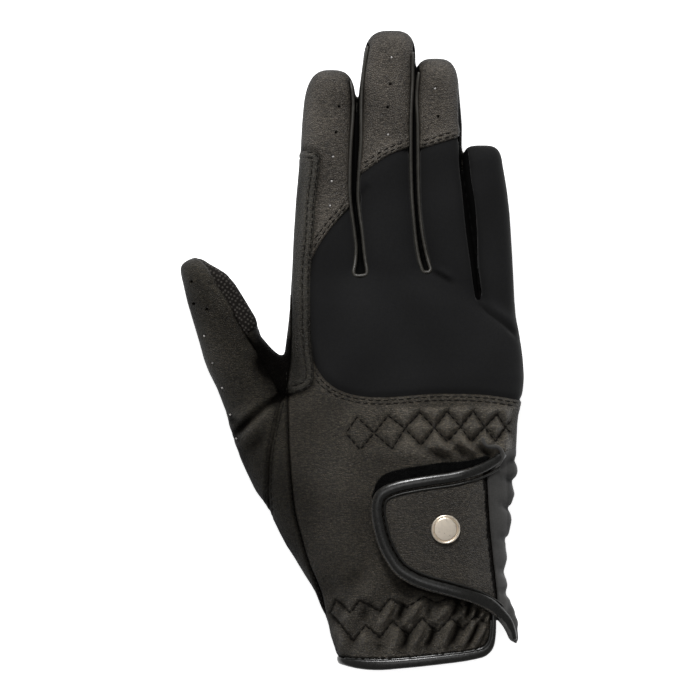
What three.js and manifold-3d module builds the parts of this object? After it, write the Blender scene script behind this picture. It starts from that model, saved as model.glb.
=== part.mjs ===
// A right-hand riding glove, lying palm down: leather palm, wrist and fingertips, a stretch-fabric back,
// side walls between the fingers, a thumb with a textured grip, and a wrist tab with a round snap.
// Millimetres. +Z is up, +Y runs from the cuff to the fingertips, and the thumb is on the -X side.

import * as THREE from "three";
import { mergeVertices } from "three/addons/utils/BufferGeometryUtils.js";
import Module from "manifold-3d";

const wasm = await Module();
wasm.setup();

// Walls and gaps
const WALL = 1.2;
const SEAM_GAP = 0.3;

// Hand
const HAND_LENGTH = 146;
const HAND_THICKNESS = 25;
const PARTING_HEIGHT = 7.2;
const FINGER_OVERLAP = 26;

// Fingers: widths at the root and near the tip, length from the fork line, thickness, lean to +X in
// degrees, bow to +X at mid-length, the gap to the next finger, and how far the root sits under the line.
const INDEX = { root: 23.6, tip: 19.6, length: 77.4, thick: 15.5, lean: 2.6, bow: 0, gap: 4.0, back: 0 };
const MIDDLE = { root: 20.2, tip: 20.0, length: 91.6, thick: 16, lean: -0.3, bow: -2.3, gap: 3.6, back: 0 };
const RING = { root: 16.4, tip: 17.2, length: 81.2, thick: 15, lean: -3.9, bow: 0.3, gap: 2.6, back: 0 };
const LITTLE = { root: 14.0, tip: 14.2, length: 54, thick: 13.5, lean: -6.3, bow: 0.8, gap: 0, back: 6 };

// Thumb: its own sizes, where its root lies in the hand, and the crotch above that
const THUMB = { root: 28, tip: 18.8, length: 91, thick: 17.5, lean: -22, bow: 0.3, back: 0 };
const THUMB_ROOT_X = -43;
const THUMB_ROOT_Y = 68;
const CROTCH_ABOVE_ROOT = 33.5;

// Side walls between the fingers, and the piping along their upper edges: how far each goes up a finger
// is a share of its length.
const SIDE_WALL_INSET = 1.8;
const SIDE_WALL_TOP = 0.96;
const PIPING_RADIUS = 0.8;
const PIPING_REACH = 0.8;

// Folds where elastic draws the leather in
const CUFF_FOLD_DEPTH = 0.7;
const CUFF_FOLDS = 15;
const EDGE_FOLD_DEPTH = 0.85;

// Slit at the little finger's side of the wrist: how far in from the glove's edge it lies, its open mouth,
// and the cuff's rounded corner
const SLIT_LENGTH = 80;
const SLIT_INSET = 7.6;
const SLIT_LEAN = 4;
const MOUTH_HEIGHT = 17.6;
const CUFF_CORNER = 7;
const CUFF_BINDING_WIDTH = 2.8;
const CUFF_BINDING_STAND = 0.5;

// Wrist tab, its binding, and the hook and loop under it
const TAB_REACH = 46.3;
const TAB_THICKNESS = 1.5;
const TAB_BINDING_WIDTH = 2.8;
const TAB_BINDING_STAND = 0.5;
const TAB_RAMP = 8;
const PILE_THICKNESS = 1.0;
const PILE_DEPTH = 15.4;
const LOOP_SHOWING = 4.4;
const HOOK_MARGIN = 1.2;

// Snap
const SNAP_RADIUS = 5.5;
const SNAP_HEIGHT = 1.5;
const SNAP_RIM = 0.8;
const SNAP_GROOVE_DEPTH = 0.35;
const SNAP_POST_RADIUS = 1.8;

// Counts that set how fine the facets are
const HAND_SIDES = 34;
const HAND_INNER_SIDES = 22;
const FINGER_SIDES = 14;
const FINGER_INNER_SIDES = 10;
const SIDE_WALL_STEPS = 5;
const PIPING_SIDES = 6;
const PIPING_STEPS = 22;
const SNAP_SIDES = 24;

// Far enough to reach past the glove on every side
const FAR = 400;

const KNUCKLE_WIDTH =
  INDEX.root + INDEX.gap + MIDDLE.root + MIDDLE.gap + RING.root + RING.gap + LITTLE.root;

// Sections of the hand. along: share of HAND_LENGTH from the hem; left and right: edges as shares of
// KNUCKLE_WIDTH from the palm's middle line; high: share of HAND_THICKNESS.
const HAND_SECTIONS = [
  { along: -0.03, left: -0.275, right: 0.43, high: 0.64 },
  { along: 0, left: -0.281, right: 0.44, high: 0.66 },
  { along: 0.06, left: -0.316, right: 0.505, high: 0.7 },
  { along: 0.125, left: -0.347, right: 0.495, high: 0.74 },
  { along: 0.185, left: -0.388, right: 0.46, high: 0.78 },
  { along: 0.31, left: -0.513, right: 0.448, high: 0.86 },
  { along: 0.43, left: -0.58, right: 0.474, high: 0.94 },
  { along: 0.525, left: -0.6, right: 0.497, high: 1 },
  { along: 0.6, left: -0.57, right: 0.508, high: 1 },
  { along: 0.68, left: -0.52, right: 0.515, high: 0.98 },
  { along: 0.8, left: -0.515, right: 0.52, high: 0.91 },
  { along: 0.92, left: -0.502, right: 0.508, high: 0.78 },
  { along: 1, left: -0.498, right: 0.492, high: 0.64 },
];

// The slit's edge, measured in from the outer edge of the cuff
const CUFF_ROW = HAND_SECTIONS[2];
const SLIT_EDGE = CUFF_ROW.right * KNUCKLE_WIDTH - SLIT_INSET;

// A digit narrows into the hand below its root, and rounds off at its tip. along: share of the length;
// wide and high: shares of the full section.
const DIGIT_SECTIONS = [
  { along: -0.3, wide: 0.6, high: 0.8 },
  { along: 0, wide: 1, high: 1 },
  { along: 0.8, wide: 1, high: 1 },
  { along: 0.88, wide: 0.96, high: 0.96 },
  { along: 0.93, wide: 0.87, high: 0.86 },
  { along: 0.965, wide: 0.72, high: 0.72 },
  { along: 0.988, wide: 0.48, high: 0.5 },
  { along: 1, wide: 0.14, high: 0.2 },
];

// Where folds lie, as shares of HAND_LENGTH. blend: how fast they fade in and out; lean: turns of shift
// over the hand's length; step: spacing of the scallops down the outer edge.
const CUFF_FOLD = { from: 0.03, to: 0.2, blend: 0.035, lean: 4.5 };
const EDGE_FOLD = { from: 0.16, to: 0.56, step: 0.031 };

// The wrist tab's edge, from the top of the slit round to the hem. reach: share of TAB_REACH from
// SLIT_EDGE towards the thumb; up: share of SLIT_LENGTH from the hem line.
const TAB_EDGE = [
  { reach: 0.04, up: 1.05 },
  { reach: 0.075, up: 1.0 },
  { reach: 0.155, up: 0.948 },
  { reach: 0.464, up: 0.886 },
  { reach: 0.788, up: 0.844 },
  { reach: 0.933, up: 0.807 },
  { reach: 1, up: 0.74 },
  { reach: 0.983, up: 0.581 },
  { reach: 0.886, up: 0.45 },
  { reach: 0.706, up: 0.375 },
  { reach: 0.382, up: 0.31 },
  { reach: 0.1, up: 0.244 },
  { reach: -0.05, up: 0.17 },
  { reach: -0.135, up: 0.105 },
];
const SNAP_PLACE = { reach: 0.416, up: 0.633 };

// Hook and loop lie under the tab's top edge, down to this share of SLIT_LENGTH
const PILE_FROM = 0.72;

// The shape of a section's corners above and below its middle: 2 is an ellipse, and more is squarer
const CORNER_ABOVE = 2.35;
const CORNER_BELOW = 2.9;

// Interpolates a table's column at a share, smoothly between its rows.
function column(table, key, share) {
  const last = table.length - 1;
  if (share <= table[0].along) return table[0][key];
  if (share >= table[last].along) return table[last][key];
  const i = table.findIndex((row) => row.along > share) - 1;
  const t = (share - table[i].along) / (table[i + 1].along - table[i].along);
  const eased = THREE.MathUtils.lerp(t, t * t * (3 - 2 * t), 0.35);
  return THREE.MathUtils.lerp(table[i][key], table[i + 1][key], eased);
}

// One closed loop of points: a rounded section, flat where it meets the floor. The rise above the
// middle and the drop below it are each half a rounded rectangle.
function sectionLoop({ x, y, heading, half, middle, rise, drop, floor, sides, stand }) {
  const loop = [];
  for (let k = 0; k < sides; k++) {
    const angle = (2 * Math.PI * (k + 0.5)) / sides;
    const corner = Math.sin(angle) > 0 ? CORNER_ABOVE : CORNER_BELOW;
    const across = Math.sign(Math.cos(angle)) * Math.pow(Math.abs(Math.cos(angle)), 2 / corner);
    const up = Math.sign(Math.sin(angle)) * Math.pow(Math.abs(Math.sin(angle)), 2 / corner);
    const extra = stand ? stand(x + across * half, y, angle) : 0;
    const u = across * (half + extra);
    const z = middle + up * ((up > 0 ? rise : drop) + extra);
    loop.push([x + u * Math.cos(heading), y - u * Math.sin(heading), Math.max(z, floor)]);
  }
  return loop;
}

// A solid from vertex positions and triangles.
function solid(positions, triangles) {
  return new wasm.Manifold(
    new wasm.Mesh({
      numProp: 3,
      vertProperties: new Float32Array(positions),
      triVerts: new Uint32Array(triangles),
    }),
  );
}

// A closed solid through loops of equal length, with a flat fan at each end.
function loft(loops) {
  const sides = loops[0].length;
  const positions = loops.flat(2);
  const triangles = [];
  const ends = [loops[0], loops[loops.length - 1]].map((loop) => {
    const sum = loop.reduce((a, p) => [a[0] + p[0], a[1] + p[1], a[2] + p[2]], [0, 0, 0]);
    positions.push(...sum.map((v) => v / sides));
    return positions.length / 3 - 1;
  });
  for (let i = 0; i + 1 < loops.length; i++) {
    for (let k = 0; k < sides; k++) {
      const a = i * sides + k;
      const b = i * sides + ((k + 1) % sides);
      triangles.push(a, a + sides, b, b, a + sides, b + sides);
    }
  }
  const top = (loops.length - 1) * sides;
  for (let k = 0; k < sides; k++) {
    const next = (k + 1) % sides;
    triangles.push(ends[0], k, next, ends[1], top + next, top + k);
  }
  return solid(positions, triangles);
}

// A three.js geometry as a solid.
function solidOf(geometry) {
  const bare = geometry.clone();
  bare.deleteAttribute("normal");
  bare.deleteAttribute("uv");
  const merged = mergeVertices(bare, 1e-4);
  return solid(merged.attributes.position.array, merged.index.array);
}

// An upright prism on a closed outline of [x, y] points. A point in line with its neighbours is left out.
function prism(outline, low = -FAR, high = FAR) {
  const count = outline.length;
  const corners = outline.filter(([x, y], i) => {
    const [ax, ay] = outline[(i + count - 1) % count];
    const [bx, by] = outline[(i + 1) % count];
    return Math.abs((x - ax) * (by - ay) - (y - ay) * (bx - ax)) > 1e-6;
  });
  const shape = new THREE.Shape(corners.map(([x, y]) => new THREE.Vector2(x, y)));
  const geometry = new THREE.ExtrudeGeometry(shape, { depth: high - low, bevelEnabled: false });
  geometry.translate(0, 0, low);
  return solidOf(geometry);
}

// A smooth open line through a few points.
function smooth(points, steps = 24) {
  const through = points.map(([x, y]) => new THREE.Vector3(x, y, 0));
  const curve = new THREE.CatmullRomCurve3(through, false, "centripetal");
  return curve.getPoints(steps).map((p) => [p.x, p.y]);
}

// A line moved to its left by an offset, with mitred corners. A closed one joins its ends.
function beside(line, offset, closed = false) {
  const count = line.length;
  const points = line.map(([x, y]) => new THREE.Vector2(x, y));
  const normal = (a, b) => new THREE.Vector2(a.y - b.y, b.x - a.x).normalize();
  return points.map((point, i) => {
    const before = points[(i + count - 1) % count];
    const after = points[(i + 1) % count];
    const came = normal(before, point);
    const goes = normal(point, after);
    const first = i === 0 && !closed ? goes : came;
    const second = i === count - 1 && !closed ? came : goes;
    const middle = first.clone().add(second).normalize();
    const moved = middle.multiplyScalar(offset / Math.max(middle.dot(first), 0.5)).add(point);
    return [moved.x, moved.y];
  });
}

// The outline of a ribbon along a line, between two offsets to its left.
const ribbon = (line, near, far) => [...beside(line, near), ...beside(line, far).reverse()];

// Keeps the largest piece of a cut, without slivers that a seam leaves beside it or pockets inside it.
function largest(made) {
  const { vertProperties, triVerts } = made.getMesh();
  return solid(vertProperties, triVerts)
    .decompose()
    .reduce((a, b) => (a.volume() > b.volume() ? a : b));
}

// A point on the hand, as shares of KNUCKLE_WIDTH from the middle line and HAND_LENGTH from the hem.
const hand = (across, along) => [across * KNUCKLE_WIDTH, along * HAND_LENGTH];

// A point by the thumb's crotch: across as a share of KNUCKLE_WIDTH, above as a share of the thumb's width.
const CROTCH_Y = THUMB_ROOT_Y + CROTCH_ABOVE_ROOT;
const byThumb = (across, above) => [across * KNUCKLE_WIDTH, CROTCH_Y + above * THUMB.root];

// A point on the wrist tab.
const onTab = ({ reach, up }) => [SLIT_EDGE - reach * TAB_REACH, up * SLIT_LENGTH];

// Finger roots stand side by side along the fork line.
const FINGERS = [INDEX, MIDDLE, RING, LITTLE];
FINGERS.reduce((edge, finger) => {
  finger.x = edge + finger.root / 2;
  finger.y = HAND_LENGTH - finger.back;
  return edge + finger.root + finger.gap;
}, -KNUCKLE_WIDTH / 2);
THUMB.x = THUMB_ROOT_X;
THUMB.y = THUMB_ROOT_Y;

// Where a digit's middle line is at a share of its length, with its heading.
function onDigit(digit, share) {
  const lean = THREE.MathUtils.degToRad(digit.lean);
  const along = share * digit.length;
  const inner = THREE.MathUtils.clamp(share, 0, 1);
  const bow = digit.bow * Math.sin(Math.PI * inner);
  const slope = inner === share ? (digit.bow * Math.PI * Math.cos(Math.PI * share)) / digit.length : 0;
  return {
    x: digit.x + along * Math.sin(lean) + bow,
    y: digit.y + along * Math.cos(lean),
    heading: lean + slope,
  };
}

function halfWidth(digit, share) {
  const full = THREE.MathUtils.lerp(digit.root, digit.tip, THREE.MathUtils.clamp(share, 0, 1));
  return (full / 2) * column(DIGIT_SECTIONS, "wide", share);
}

// A point on a digit, at a share of its length and a share of its half width to +X.
function digitPoint(digit, share, across) {
  const at = onDigit(digit, share);
  const u = across * halfWidth(digit, share);
  return [at.x + u * Math.cos(at.heading), at.y - u * Math.sin(at.heading)];
}

// A digit as a solid, taken in by inset all round.
function digitSolid(digit, inset, sides, steps) {
  const shares = [-FINGER_OVERLAP / digit.length];
  const straight = DIGIT_SECTIONS[2].along;
  for (let i = 0; i < steps; i++) shares.push((straight * i) / steps);
  shares.push(...DIGIT_SECTIONS.slice(2).map((row) => row.along));
  const loops = shares.map((share) => {
    const high = (digit.thick / 2) * column(DIGIT_SECTIONS, "high", share);
    const least = WALL / 3;
    return sectionLoop({
      ...onDigit(digit, share - inset / digit.length),
      half: Math.max(halfWidth(digit, share) - inset, least),
      middle: digit.thick / 2,
      rise: Math.max(high - inset, least),
      drop: Math.max(high + least - inset, least),
      floor: Math.max(inset, 0),
      sides,
    });
  });
  return loft(loops);
}

// Folds that stand out of the hand: slanting ones at the cuff, and scallops down the outer edge.
function folds(share, across, angle) {
  const { from, to, blend, lean } = CUFF_FOLD;
  const fade = THREE.MathUtils.smoothstep;
  const inCuff = fade(share, from, from + blend) * (1 - fade(share, to - blend, to));
  const wave = Math.sin(CUFF_FOLDS * angle + lean * share * 2 * Math.PI);
  const cuff = angle < Math.PI ? (wave * CUFF_FOLD_DEPTH * inCuff) / 2 : 0;
  const onEdge = share > EDGE_FOLD.from && share < EDGE_FOLD.to && across > 0 ? across ** 6 : 0;
  const scallop = Math.cos((Math.PI * (share - EDGE_FOLD.from)) / EDGE_FOLD.step);
  return cuff + (scallop * EDGE_FOLD_DEPTH * onEdge) / 2;
}

// How far along the hand its sections lie: close together where it is folded.
function handShares(folded) {
  const start = HAND_SECTIONS[0].along;
  const step = EDGE_FOLD.step * (folded ? 1 : 3);
  const shares = [start];
  for (let share = start + EDGE_FOLD.step; share < EDGE_FOLD.to; share += step) shares.push(share);
  for (let share = EDGE_FOLD.to + EDGE_FOLD.step; share < 0.99; share += 0.06) shares.push(share);
  return [...shares, 1];
}

// The hand as a solid from the hem to the forks. stand(x, y) is how far it stands out of the glove's
// own surface, and below zero it is inside. ends: how much longer it is at the hem, and at the forks.
function handSolid(stand, { sides = HAND_SIDES, folded = true, ends = [0, 0] } = {}) {
  const shares = handShares(folded);
  const loops = shares.map((share, i) => {
    const left = column(HAND_SECTIONS, "left", share) * KNUCKLE_WIDTH;
    const right = column(HAND_SECTIONS, "right", share) * KNUCKLE_WIDTH;
    const high = (column(HAND_SECTIONS, "high", share) * HAND_THICKNESS) / 2;
    const halfAcross = (right - left) / 2;
    const x = (left + right) / 2;
    const shift = i === 0 ? -ends[0] : i === shares.length - 1 ? ends[1] : 0;
    const y = share * HAND_LENGTH + shift;
    return sectionLoop({
      x,
      y,
      heading: 0,
      half: halfAcross,
      middle: high,
      rise: high,
      drop: high + WALL / 2,
      floor: Math.max(-stand(x, y), 0),
      sides,
      stand: (px, py, angle) => {
        const fold = folded ? folds(share, (px - x) / halfAcross, angle) : 0;
        return stand(px, py) + fold;
      },
    });
  });
  return loft(loops);
}

// The whole glove's outer form, grown by a distance.
function skinSolid(grown) {
  const digits = FINGERS.map((finger) => digitSolid(finger, -grown, FINGER_SIDES, 3));
  const body = handSolid(() => grown).add(digitSolid(THUMB, -grown, FINGER_SIDES, 4));
  return digits.reduce((all, digit) => all.add(digit), body);
}

// The space inside it, which runs out past the hem.
function insideSolid() {
  const digits = FINGERS.map((finger) => digitSolid(finger, WALL, FINGER_INNER_SIDES, 2));
  const options = { sides: HAND_INNER_SIDES, folded: false, ends: [HAND_THICKNESS, -WALL] };
  const body = handSolid(() => -WALL, options).add(digitSolid(THUMB, WALL, FINGER_INNER_SIDES, 3));
  return digits.reduce((all, digit) => all.add(digit), body);
}

// Seam lines, seen from above
const stripSeam = smooth([
  digitPoint(INDEX, 0.62, -1.5),
  digitPoint(INDEX, 0.6, -0.3),
  digitPoint(INDEX, 0.5, -0.22),
  digitPoint(INDEX, 0.2, -0.3),
  hand(-0.408, 0.97),
  hand(-0.416, 0.86),
  byThumb(-0.417, 0.364),
  byThumb(-0.425, 0.103),
  byThumb(-0.47, 0.025),
  byThumb(-0.6, 0),
], 20);
const indexSeam = smooth([
  digitPoint(INDEX, 0.02, -0.5),
  digitPoint(INDEX, 0.07, -0.28),
  digitPoint(INDEX, 0.2, 0.1),
  digitPoint(INDEX, 0.36, 1.3),
], 12);
const middleSeam = smooth([
  digitPoint(MIDDLE, 0.4, -1.3),
  digitPoint(MIDDLE, 0.47, 0),
  digitPoint(MIDDLE, 0.53, 1.3),
], 6);
const ringSeam = smooth([
  digitPoint(RING, 0.55, -1.3),
  digitPoint(RING, 0.59, 0),
  digitPoint(RING, 0.63, 1.3),
], 6);
const backSeam = smooth([
  hand(-0.5, 0.88),
  hand(-0.416, 0.852),
  hand(-0.385, 0.788),
  hand(-0.3, 0.733),
  hand(-0.155, 0.704),
  hand(0.02, 0.7),
  hand(0.2, 0.707),
  hand(0.38, 0.703),
  hand(0.62, 0.67),
], 16);
const gussetSeam = smooth([
  hand(-0.519, 0.78),
  hand(-0.519, 0.68),
  hand(-0.517, 0.5),
  hand(-0.473, 0.34),
  hand(-0.419, 0.245),
  hand(-0.37, 0.165),
  hand(-0.34, 0.1),
], 10);
const thumbSeam = smooth([
  byThumb(-0.535, 0.442),
  byThumb(-0.545, -0.058),
  byThumb(-0.575, -0.46),
  byThumb(-0.6, -1.017),
  byThumb(-0.6, -1.59),
  byThumb(-0.64, -2.06),
], 8);
const gripSeam = [
  digitPoint(THUMB, 1.06, -0.4),
  digitPoint(THUMB, 0.985, 0.1),
  digitPoint(THUMB, 0.93, 0.3),
  digitPoint(THUMB, 0.8, 0.42),
  digitPoint(THUMB, 0.56, 0.55),
];
const gripEnd = [
  digitPoint(THUMB, 0.54, 2.2),
  digitPoint(THUMB, 0.56, 0.55),
  digitPoint(THUMB, 0.57, -2.5),
];
const slitLine = [
  [SLIT_EDGE, -FAR],
  [SLIT_EDGE, MOUTH_HEIGHT],
  [SLIT_EDGE - SLIT_LEAN / 2, MOUTH_HEIGHT + 2 * SLIT_LEAN],
  [SLIT_EDGE - SLIT_LEAN, SLIT_LENGTH],
  [SLIT_EDGE + KNUCKLE_WIDTH / 5, SLIT_LENGTH + SLIT_LEAN],
];

// The cuff's edge: along the hem from the thumb's side, round the corner and up the slit.
const cuffEdge = smooth([
  hand(-0.7, 0.02),
  hand(-0.285, 0.004),
  hand(-0.14, -0.008),
  hand(0.1, -0.01),
  [SLIT_EDGE - CUFF_CORNER, 0.45 * CUFF_CORNER],
  [SLIT_EDGE - 0.25 * CUFF_CORNER, 0.9 * CUFF_CORNER],
  [SLIT_EDGE, 1.5 * CUFF_CORNER],
  [SLIT_EDGE, MOUTH_HEIGHT],
], 18);
const tabEdge = smooth(TAB_EDGE.map(onTab), 26);
const tabTail = tabEdge.filter(([x]) => x > SLIT_EDGE);

// The outline of the side wall between two neighbouring fingers: down one to the fork and up the other,
// as far as the shorter one goes.
function sideWall(left, right) {
  const top = Math.min(left.y + SIDE_WALL_TOP * left.length, right.y + SIDE_WALL_TOP * right.length);
  const side = (digit, sign) => {
    const line = [];
    for (let i = 0; i <= SIDE_WALL_STEPS; i++) {
      const share = THREE.MathUtils.lerp(0.02, (top - digit.y) / digit.length, i / SIDE_WALL_STEPS);
      line.push(digitPoint(digit, share, sign * (1 - SIDE_WALL_INSET / halfWidth(digit, share))));
    }
    return line;
  };
  const deep = Math.min(left.y, right.y) - SIDE_WALL_INSET - WALL / 3;
  const reach = (right.x - left.x - (right.root + left.root) / 2) / 2 + SIDE_WALL_INSET / 2;
  const middle = (left.x + left.root / 2 + right.x - right.root / 2) / 2;
  return [...side(left, 1).reverse(), [middle - reach, deep], [middle + reach, deep], ...side(right, -1)];
}

// Cuts along seams, so that neighbouring panels keep a small gap
const half = SEAM_GAP / 2;
const everywhere = [[-FAR, -FAR], [FAR, -FAR], [FAR, FAR], [-FAR, FAR]];
const upper = (whole) => whole.intersect(prism(everywhere, PARTING_HEIGHT + half));
const lower = (whole) => whole.intersect(prism(everywhere, -FAR, PARTING_HEIGHT - half));
const cut = (whole, ...lines) =>
  lines.reduce((rest, line) => rest.subtract(prism(ribbon(line, -half, half))), whole);
const region = (line, ...corners) => prism([...line, ...corners]);
const layer = (low, high, outline) => handSolid(high).subtract(handSolid(low)).intersect(prism(outline));

// Regions on one side of a seam, closed far outside the glove
const endOf = (line) => line[line.length - 1];
const wallLines = [sideWall(INDEX, MIDDLE), sideWall(MIDDLE, RING), sideWall(RING, LITTLE)];
const wallRegions = wallLines.map((line) => prism(beside(line, half, true)));
const wallHoles = wallLines.map((line) => prism(beside(line, -half, true)));
const thumbSide = region(thumbSeam, [-FAR, -FAR], [-FAR, FAR], [thumbSeam[0][0], FAR]);
const gussetSide = region(gussetSeam, hand(-0.9, 0), [-FAR, FAR], [gussetSeam[0][0], FAR]);
const stripSide = region(stripSeam, [-FAR, endOf(stripSeam)[1]], [-FAR, stripSeam[0][1]]);
const belowBack = region(backSeam, [FAR, -FAR], [-FAR, -FAR], [-FAR, backSeam[0][1]]);
const outsideSlit = region(slitLine, [FAR, endOf(slitLine)[1]], [FAR, -FAR]);
const aboveIndex = region(indexSeam, [endOf(indexSeam)[0], FAR], [-FAR, FAR], [-FAR, indexSeam[0][1]]);
const aboveMiddle = region(middleSeam, [MIDDLE.x + MIDDLE.root, FAR], [MIDDLE.x - MIDDLE.root, FAR]);
const aboveRing = region(ringSeam, [RING.x + RING.root, FAR], [RING.x - RING.root, FAR]);
const beyondGripEnd = region(gripEnd, digitPoint(THUMB, 1.3, -2.5), digitPoint(THUMB, 1.3, 2.5));
const gripSide = region(gripSeam, digitPoint(THUMB, 0.5, 2.4), digitPoint(THUMB, 1.2, 2.4));
const mouth = [[SLIT_EDGE + SEAM_GAP, MOUTH_HEIGHT], ...tabTail, [FAR, endOf(tabTail)[1]]];
const beyondCuff = region([...cuffEdge, ...mouth], [FAR, -FAR], [-FAR, -FAR]);
const bindingBand = prism(ribbon(cuffEdge, 0, CUFF_BINDING_WIDTH));
const pastBinding = [...cuffEdge, [SLIT_EDGE, MOUTH_HEIGHT + SEAM_GAP]];
const bindingGap = prism(ribbon(pastBinding, -SEAM_GAP, CUFF_BINDING_WIDTH + SEAM_GAP));

// The shell, cut into panels
const inside = insideSolid();
const shell = skinSolid(0).subtract(inside).subtract(beyondCuff);
const trimmed = shell.subtract(bindingGap);
const noWalls = wallHoles.reduce((rest, hole) => rest.subtract(hole), trimmed);
const top = upper(noWalls);
const bottom = lower(noWalls);
const thumbTop = cut(top.intersect(thumbSide), thumbSeam, stripSeam);
const handTop = cut(top.subtract(thumbSide), thumbSeam);
const wholeBack = cut(handTop.subtract(stripSide), stripSeam);
const lowBack = cut(wholeBack.intersect(belowBack), backSeam);
const highBack = cut(wholeBack.subtract(belowBack), backSeam);
const thumbWhole = trimmed.intersect(thumbSide).intersect(beyondGripEnd);

// Layers over the back of the wrist. Each stands a small gap over the one below, and the tab's own
// comes down to the back where it joins the slit's outer side.
const loopLow = SEAM_GAP;
const hookLow = loopLow + PILE_THICKNESS + SEAM_GAP;
const tabHigh = hookLow + PILE_THICKNESS + SEAM_GAP;
const tabLow = (x) =>
  THREE.MathUtils.lerp(
    tabHigh,
    SEAM_GAP,
    THREE.MathUtils.smoothstep(x, SLIT_EDGE - SLIT_LEAN / 2 - TAB_RAMP, SLIT_EDGE - SLIT_LEAN / 2),
  );
const tabInner = beside(tabEdge, TAB_BINDING_WIDTH + SEAM_GAP);
const pileEdge = tabEdge.filter(([x, y]) => x < SLIT_EDGE - TAB_RAMP && y > PILE_FROM * SLIT_LENGTH);
const loopEdge = ribbon(pileEdge, -LOOP_SHOWING, PILE_DEPTH).map(([x, y]) => [
  Math.min(x, SLIT_EDGE - TAB_RAMP),
  y,
]);
const hookEdge = ribbon(
  pileEdge.filter(([x]) => x < SLIT_EDGE - 2 * TAB_RAMP),
  TAB_BINDING_WIDTH + HOOK_MARGIN,
  PILE_DEPTH,
);

// Height of the hand's upper surface at a point, standing out of the glove's own by a distance.
function surface(x, y, stand) {
  const share = y / HAND_LENGTH;
  const left = column(HAND_SECTIONS, "left", share) * KNUCKLE_WIDTH;
  const right = column(HAND_SECTIONS, "right", share) * KNUCKLE_WIDTH;
  const high = (column(HAND_SECTIONS, "high", share) * HAND_THICKNESS) / 2;
  const across = Math.abs(x - (left + right) / 2) / ((right - left) / 2 + stand);
  return high + (high + stand) * Math.pow(1 - Math.pow(across, CORNER_ABOVE), 1 / CORNER_ABOVE);
}

// The snap is square to the tab's surface. A post through the tab carries its cap.
const [snapX, snapY] = onTab(SNAP_PLACE);
const tabTop = tabHigh + TAB_THICKNESS;
const snapPlace = new THREE.Vector3(snapX, snapY, surface(snapX, snapY, tabTop));
const slopeX = (surface(snapX + 1, snapY, tabTop) - surface(snapX - 1, snapY, tabTop)) / 2;
const slopeY = (surface(snapX, snapY + 1, tabTop) - surface(snapX, snapY - 1, tabTop)) / 2;
const snapTurn = new THREE.Quaternion().setFromUnitVectors(
  new THREE.Vector3(0, 1, 0),
  new THREE.Vector3(-slopeX, -slopeY, 1).normalize(),
);
const holeRadius = SNAP_POST_RADIUS + SEAM_GAP;
const snapHole = solidOf(
  new THREE.CylinderGeometry(holeRadius, holeRadius, HAND_THICKNESS / 2, SNAP_SIDES)
    .applyQuaternion(snapTurn)
    .translate(...snapPlace),
);
const snapProfile = [
  [0, -TAB_THICKNESS],
  [SNAP_POST_RADIUS, -TAB_THICKNESS],
  [SNAP_POST_RADIUS, SEAM_GAP],
  [SNAP_RADIUS - SNAP_RIM / 2, SEAM_GAP],
  [SNAP_RADIUS, SEAM_GAP + SNAP_RIM / 2],
  [SNAP_RADIUS, SEAM_GAP + SNAP_HEIGHT - SNAP_RIM / 2],
  [SNAP_RADIUS - SNAP_RIM / 2, SEAM_GAP + SNAP_HEIGHT],
  [SNAP_RADIUS - SNAP_RIM, SEAM_GAP + SNAP_HEIGHT - SNAP_GROOVE_DEPTH],
  [SNAP_RADIUS - 1.6 * SNAP_RIM, SEAM_GAP + SNAP_HEIGHT],
  [0, SEAM_GAP + SNAP_HEIGHT],
];

// The glove's form with a small gap round it, which the piping stays out of
const skinAround = skinSolid(SEAM_GAP);

// Piping: a thin tube beside the seam of each side wall, down one finger, round the fork and up the next.
function piping(left, right) {
  const proud = SIDE_WALL_INSET - PIPING_RADIUS;
  const centre = (digit, share, sign) => {
    const wide = halfWidth(digit, share);
    const [x, y] = digitPoint(digit, share, sign * (1 - proud / wide));
    const high = (digit.thick / 2) * column(DIGIT_SECTIONS, "high", share);
    const edge = Math.pow(1 - Math.pow(1 - SIDE_WALL_INSET / wide, CORNER_ABOVE), 1 / CORNER_ABOVE);
    return new THREE.Vector3(x, y, digit.thick / 2 + high * edge + PIPING_RADIUS + SEAM_GAP);
  };
  const shares = [1, 0.75, 0.5, 0.25, 0.075].map((part) => part * PIPING_REACH);
  const down = shares.map((share) => centre(left, share, 1));
  const up = shares.map((share) => centre(right, share, -1)).reverse();
  const turn = down[down.length - 1].clone().add(up[0]).divideScalar(2);
  turn.y = HAND_LENGTH + PIPING_RADIUS + SEAM_GAP;
  const path = new THREE.CatmullRomCurve3([...down, turn, ...up], false, "centripetal");
  const section = new THREE.Shape().absarc(0, 0, PIPING_RADIUS, 0, 2 * Math.PI);
  const options = { steps: PIPING_STEPS, curveSegments: PIPING_SIDES / 2, bevelEnabled: false };
  return solidOf(new THREE.ExtrudeGeometry(section, { ...options, extrudePath: path })).subtract(skinAround);
}

// Materials
const material = (color, roughness, metalness = 0) =>
  new THREE.MeshStandardMaterial({ color, roughness, metalness });
const LEATHER = material(0x37342f, 0.55);
const LEATHER_WORN = material(0x494641, 0.5);
const LEATHER_DARK = material(0x2e2b26, 0.55);
const STRETCH = material(0x202020, 0.9);
const STRETCH_GREY = material(0x494846, 0.8);
const GRIP = material(0x1a1918, 0.8);
const PIPING = material(0x242321, 0.25);
const PILE = material(0x0a0a0a, 1);
const METAL = material(0xb8ad9c, 0.3, 0.9);

const glove = new THREE.Group();

// Adds a solid to the glove as a named mesh.
function add(name, made, look) {
  const { vertProperties, triVerts } = largest(made).getMesh();
  const geometry = new THREE.BufferGeometry();
  geometry.setAttribute("position", new THREE.BufferAttribute(vertProperties, 3));
  geometry.setIndex(new THREE.BufferAttribute(triVerts, 1));
  const mesh = new THREE.Mesh(geometry, look);
  mesh.name = name;
  glove.add(mesh);
}

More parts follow.
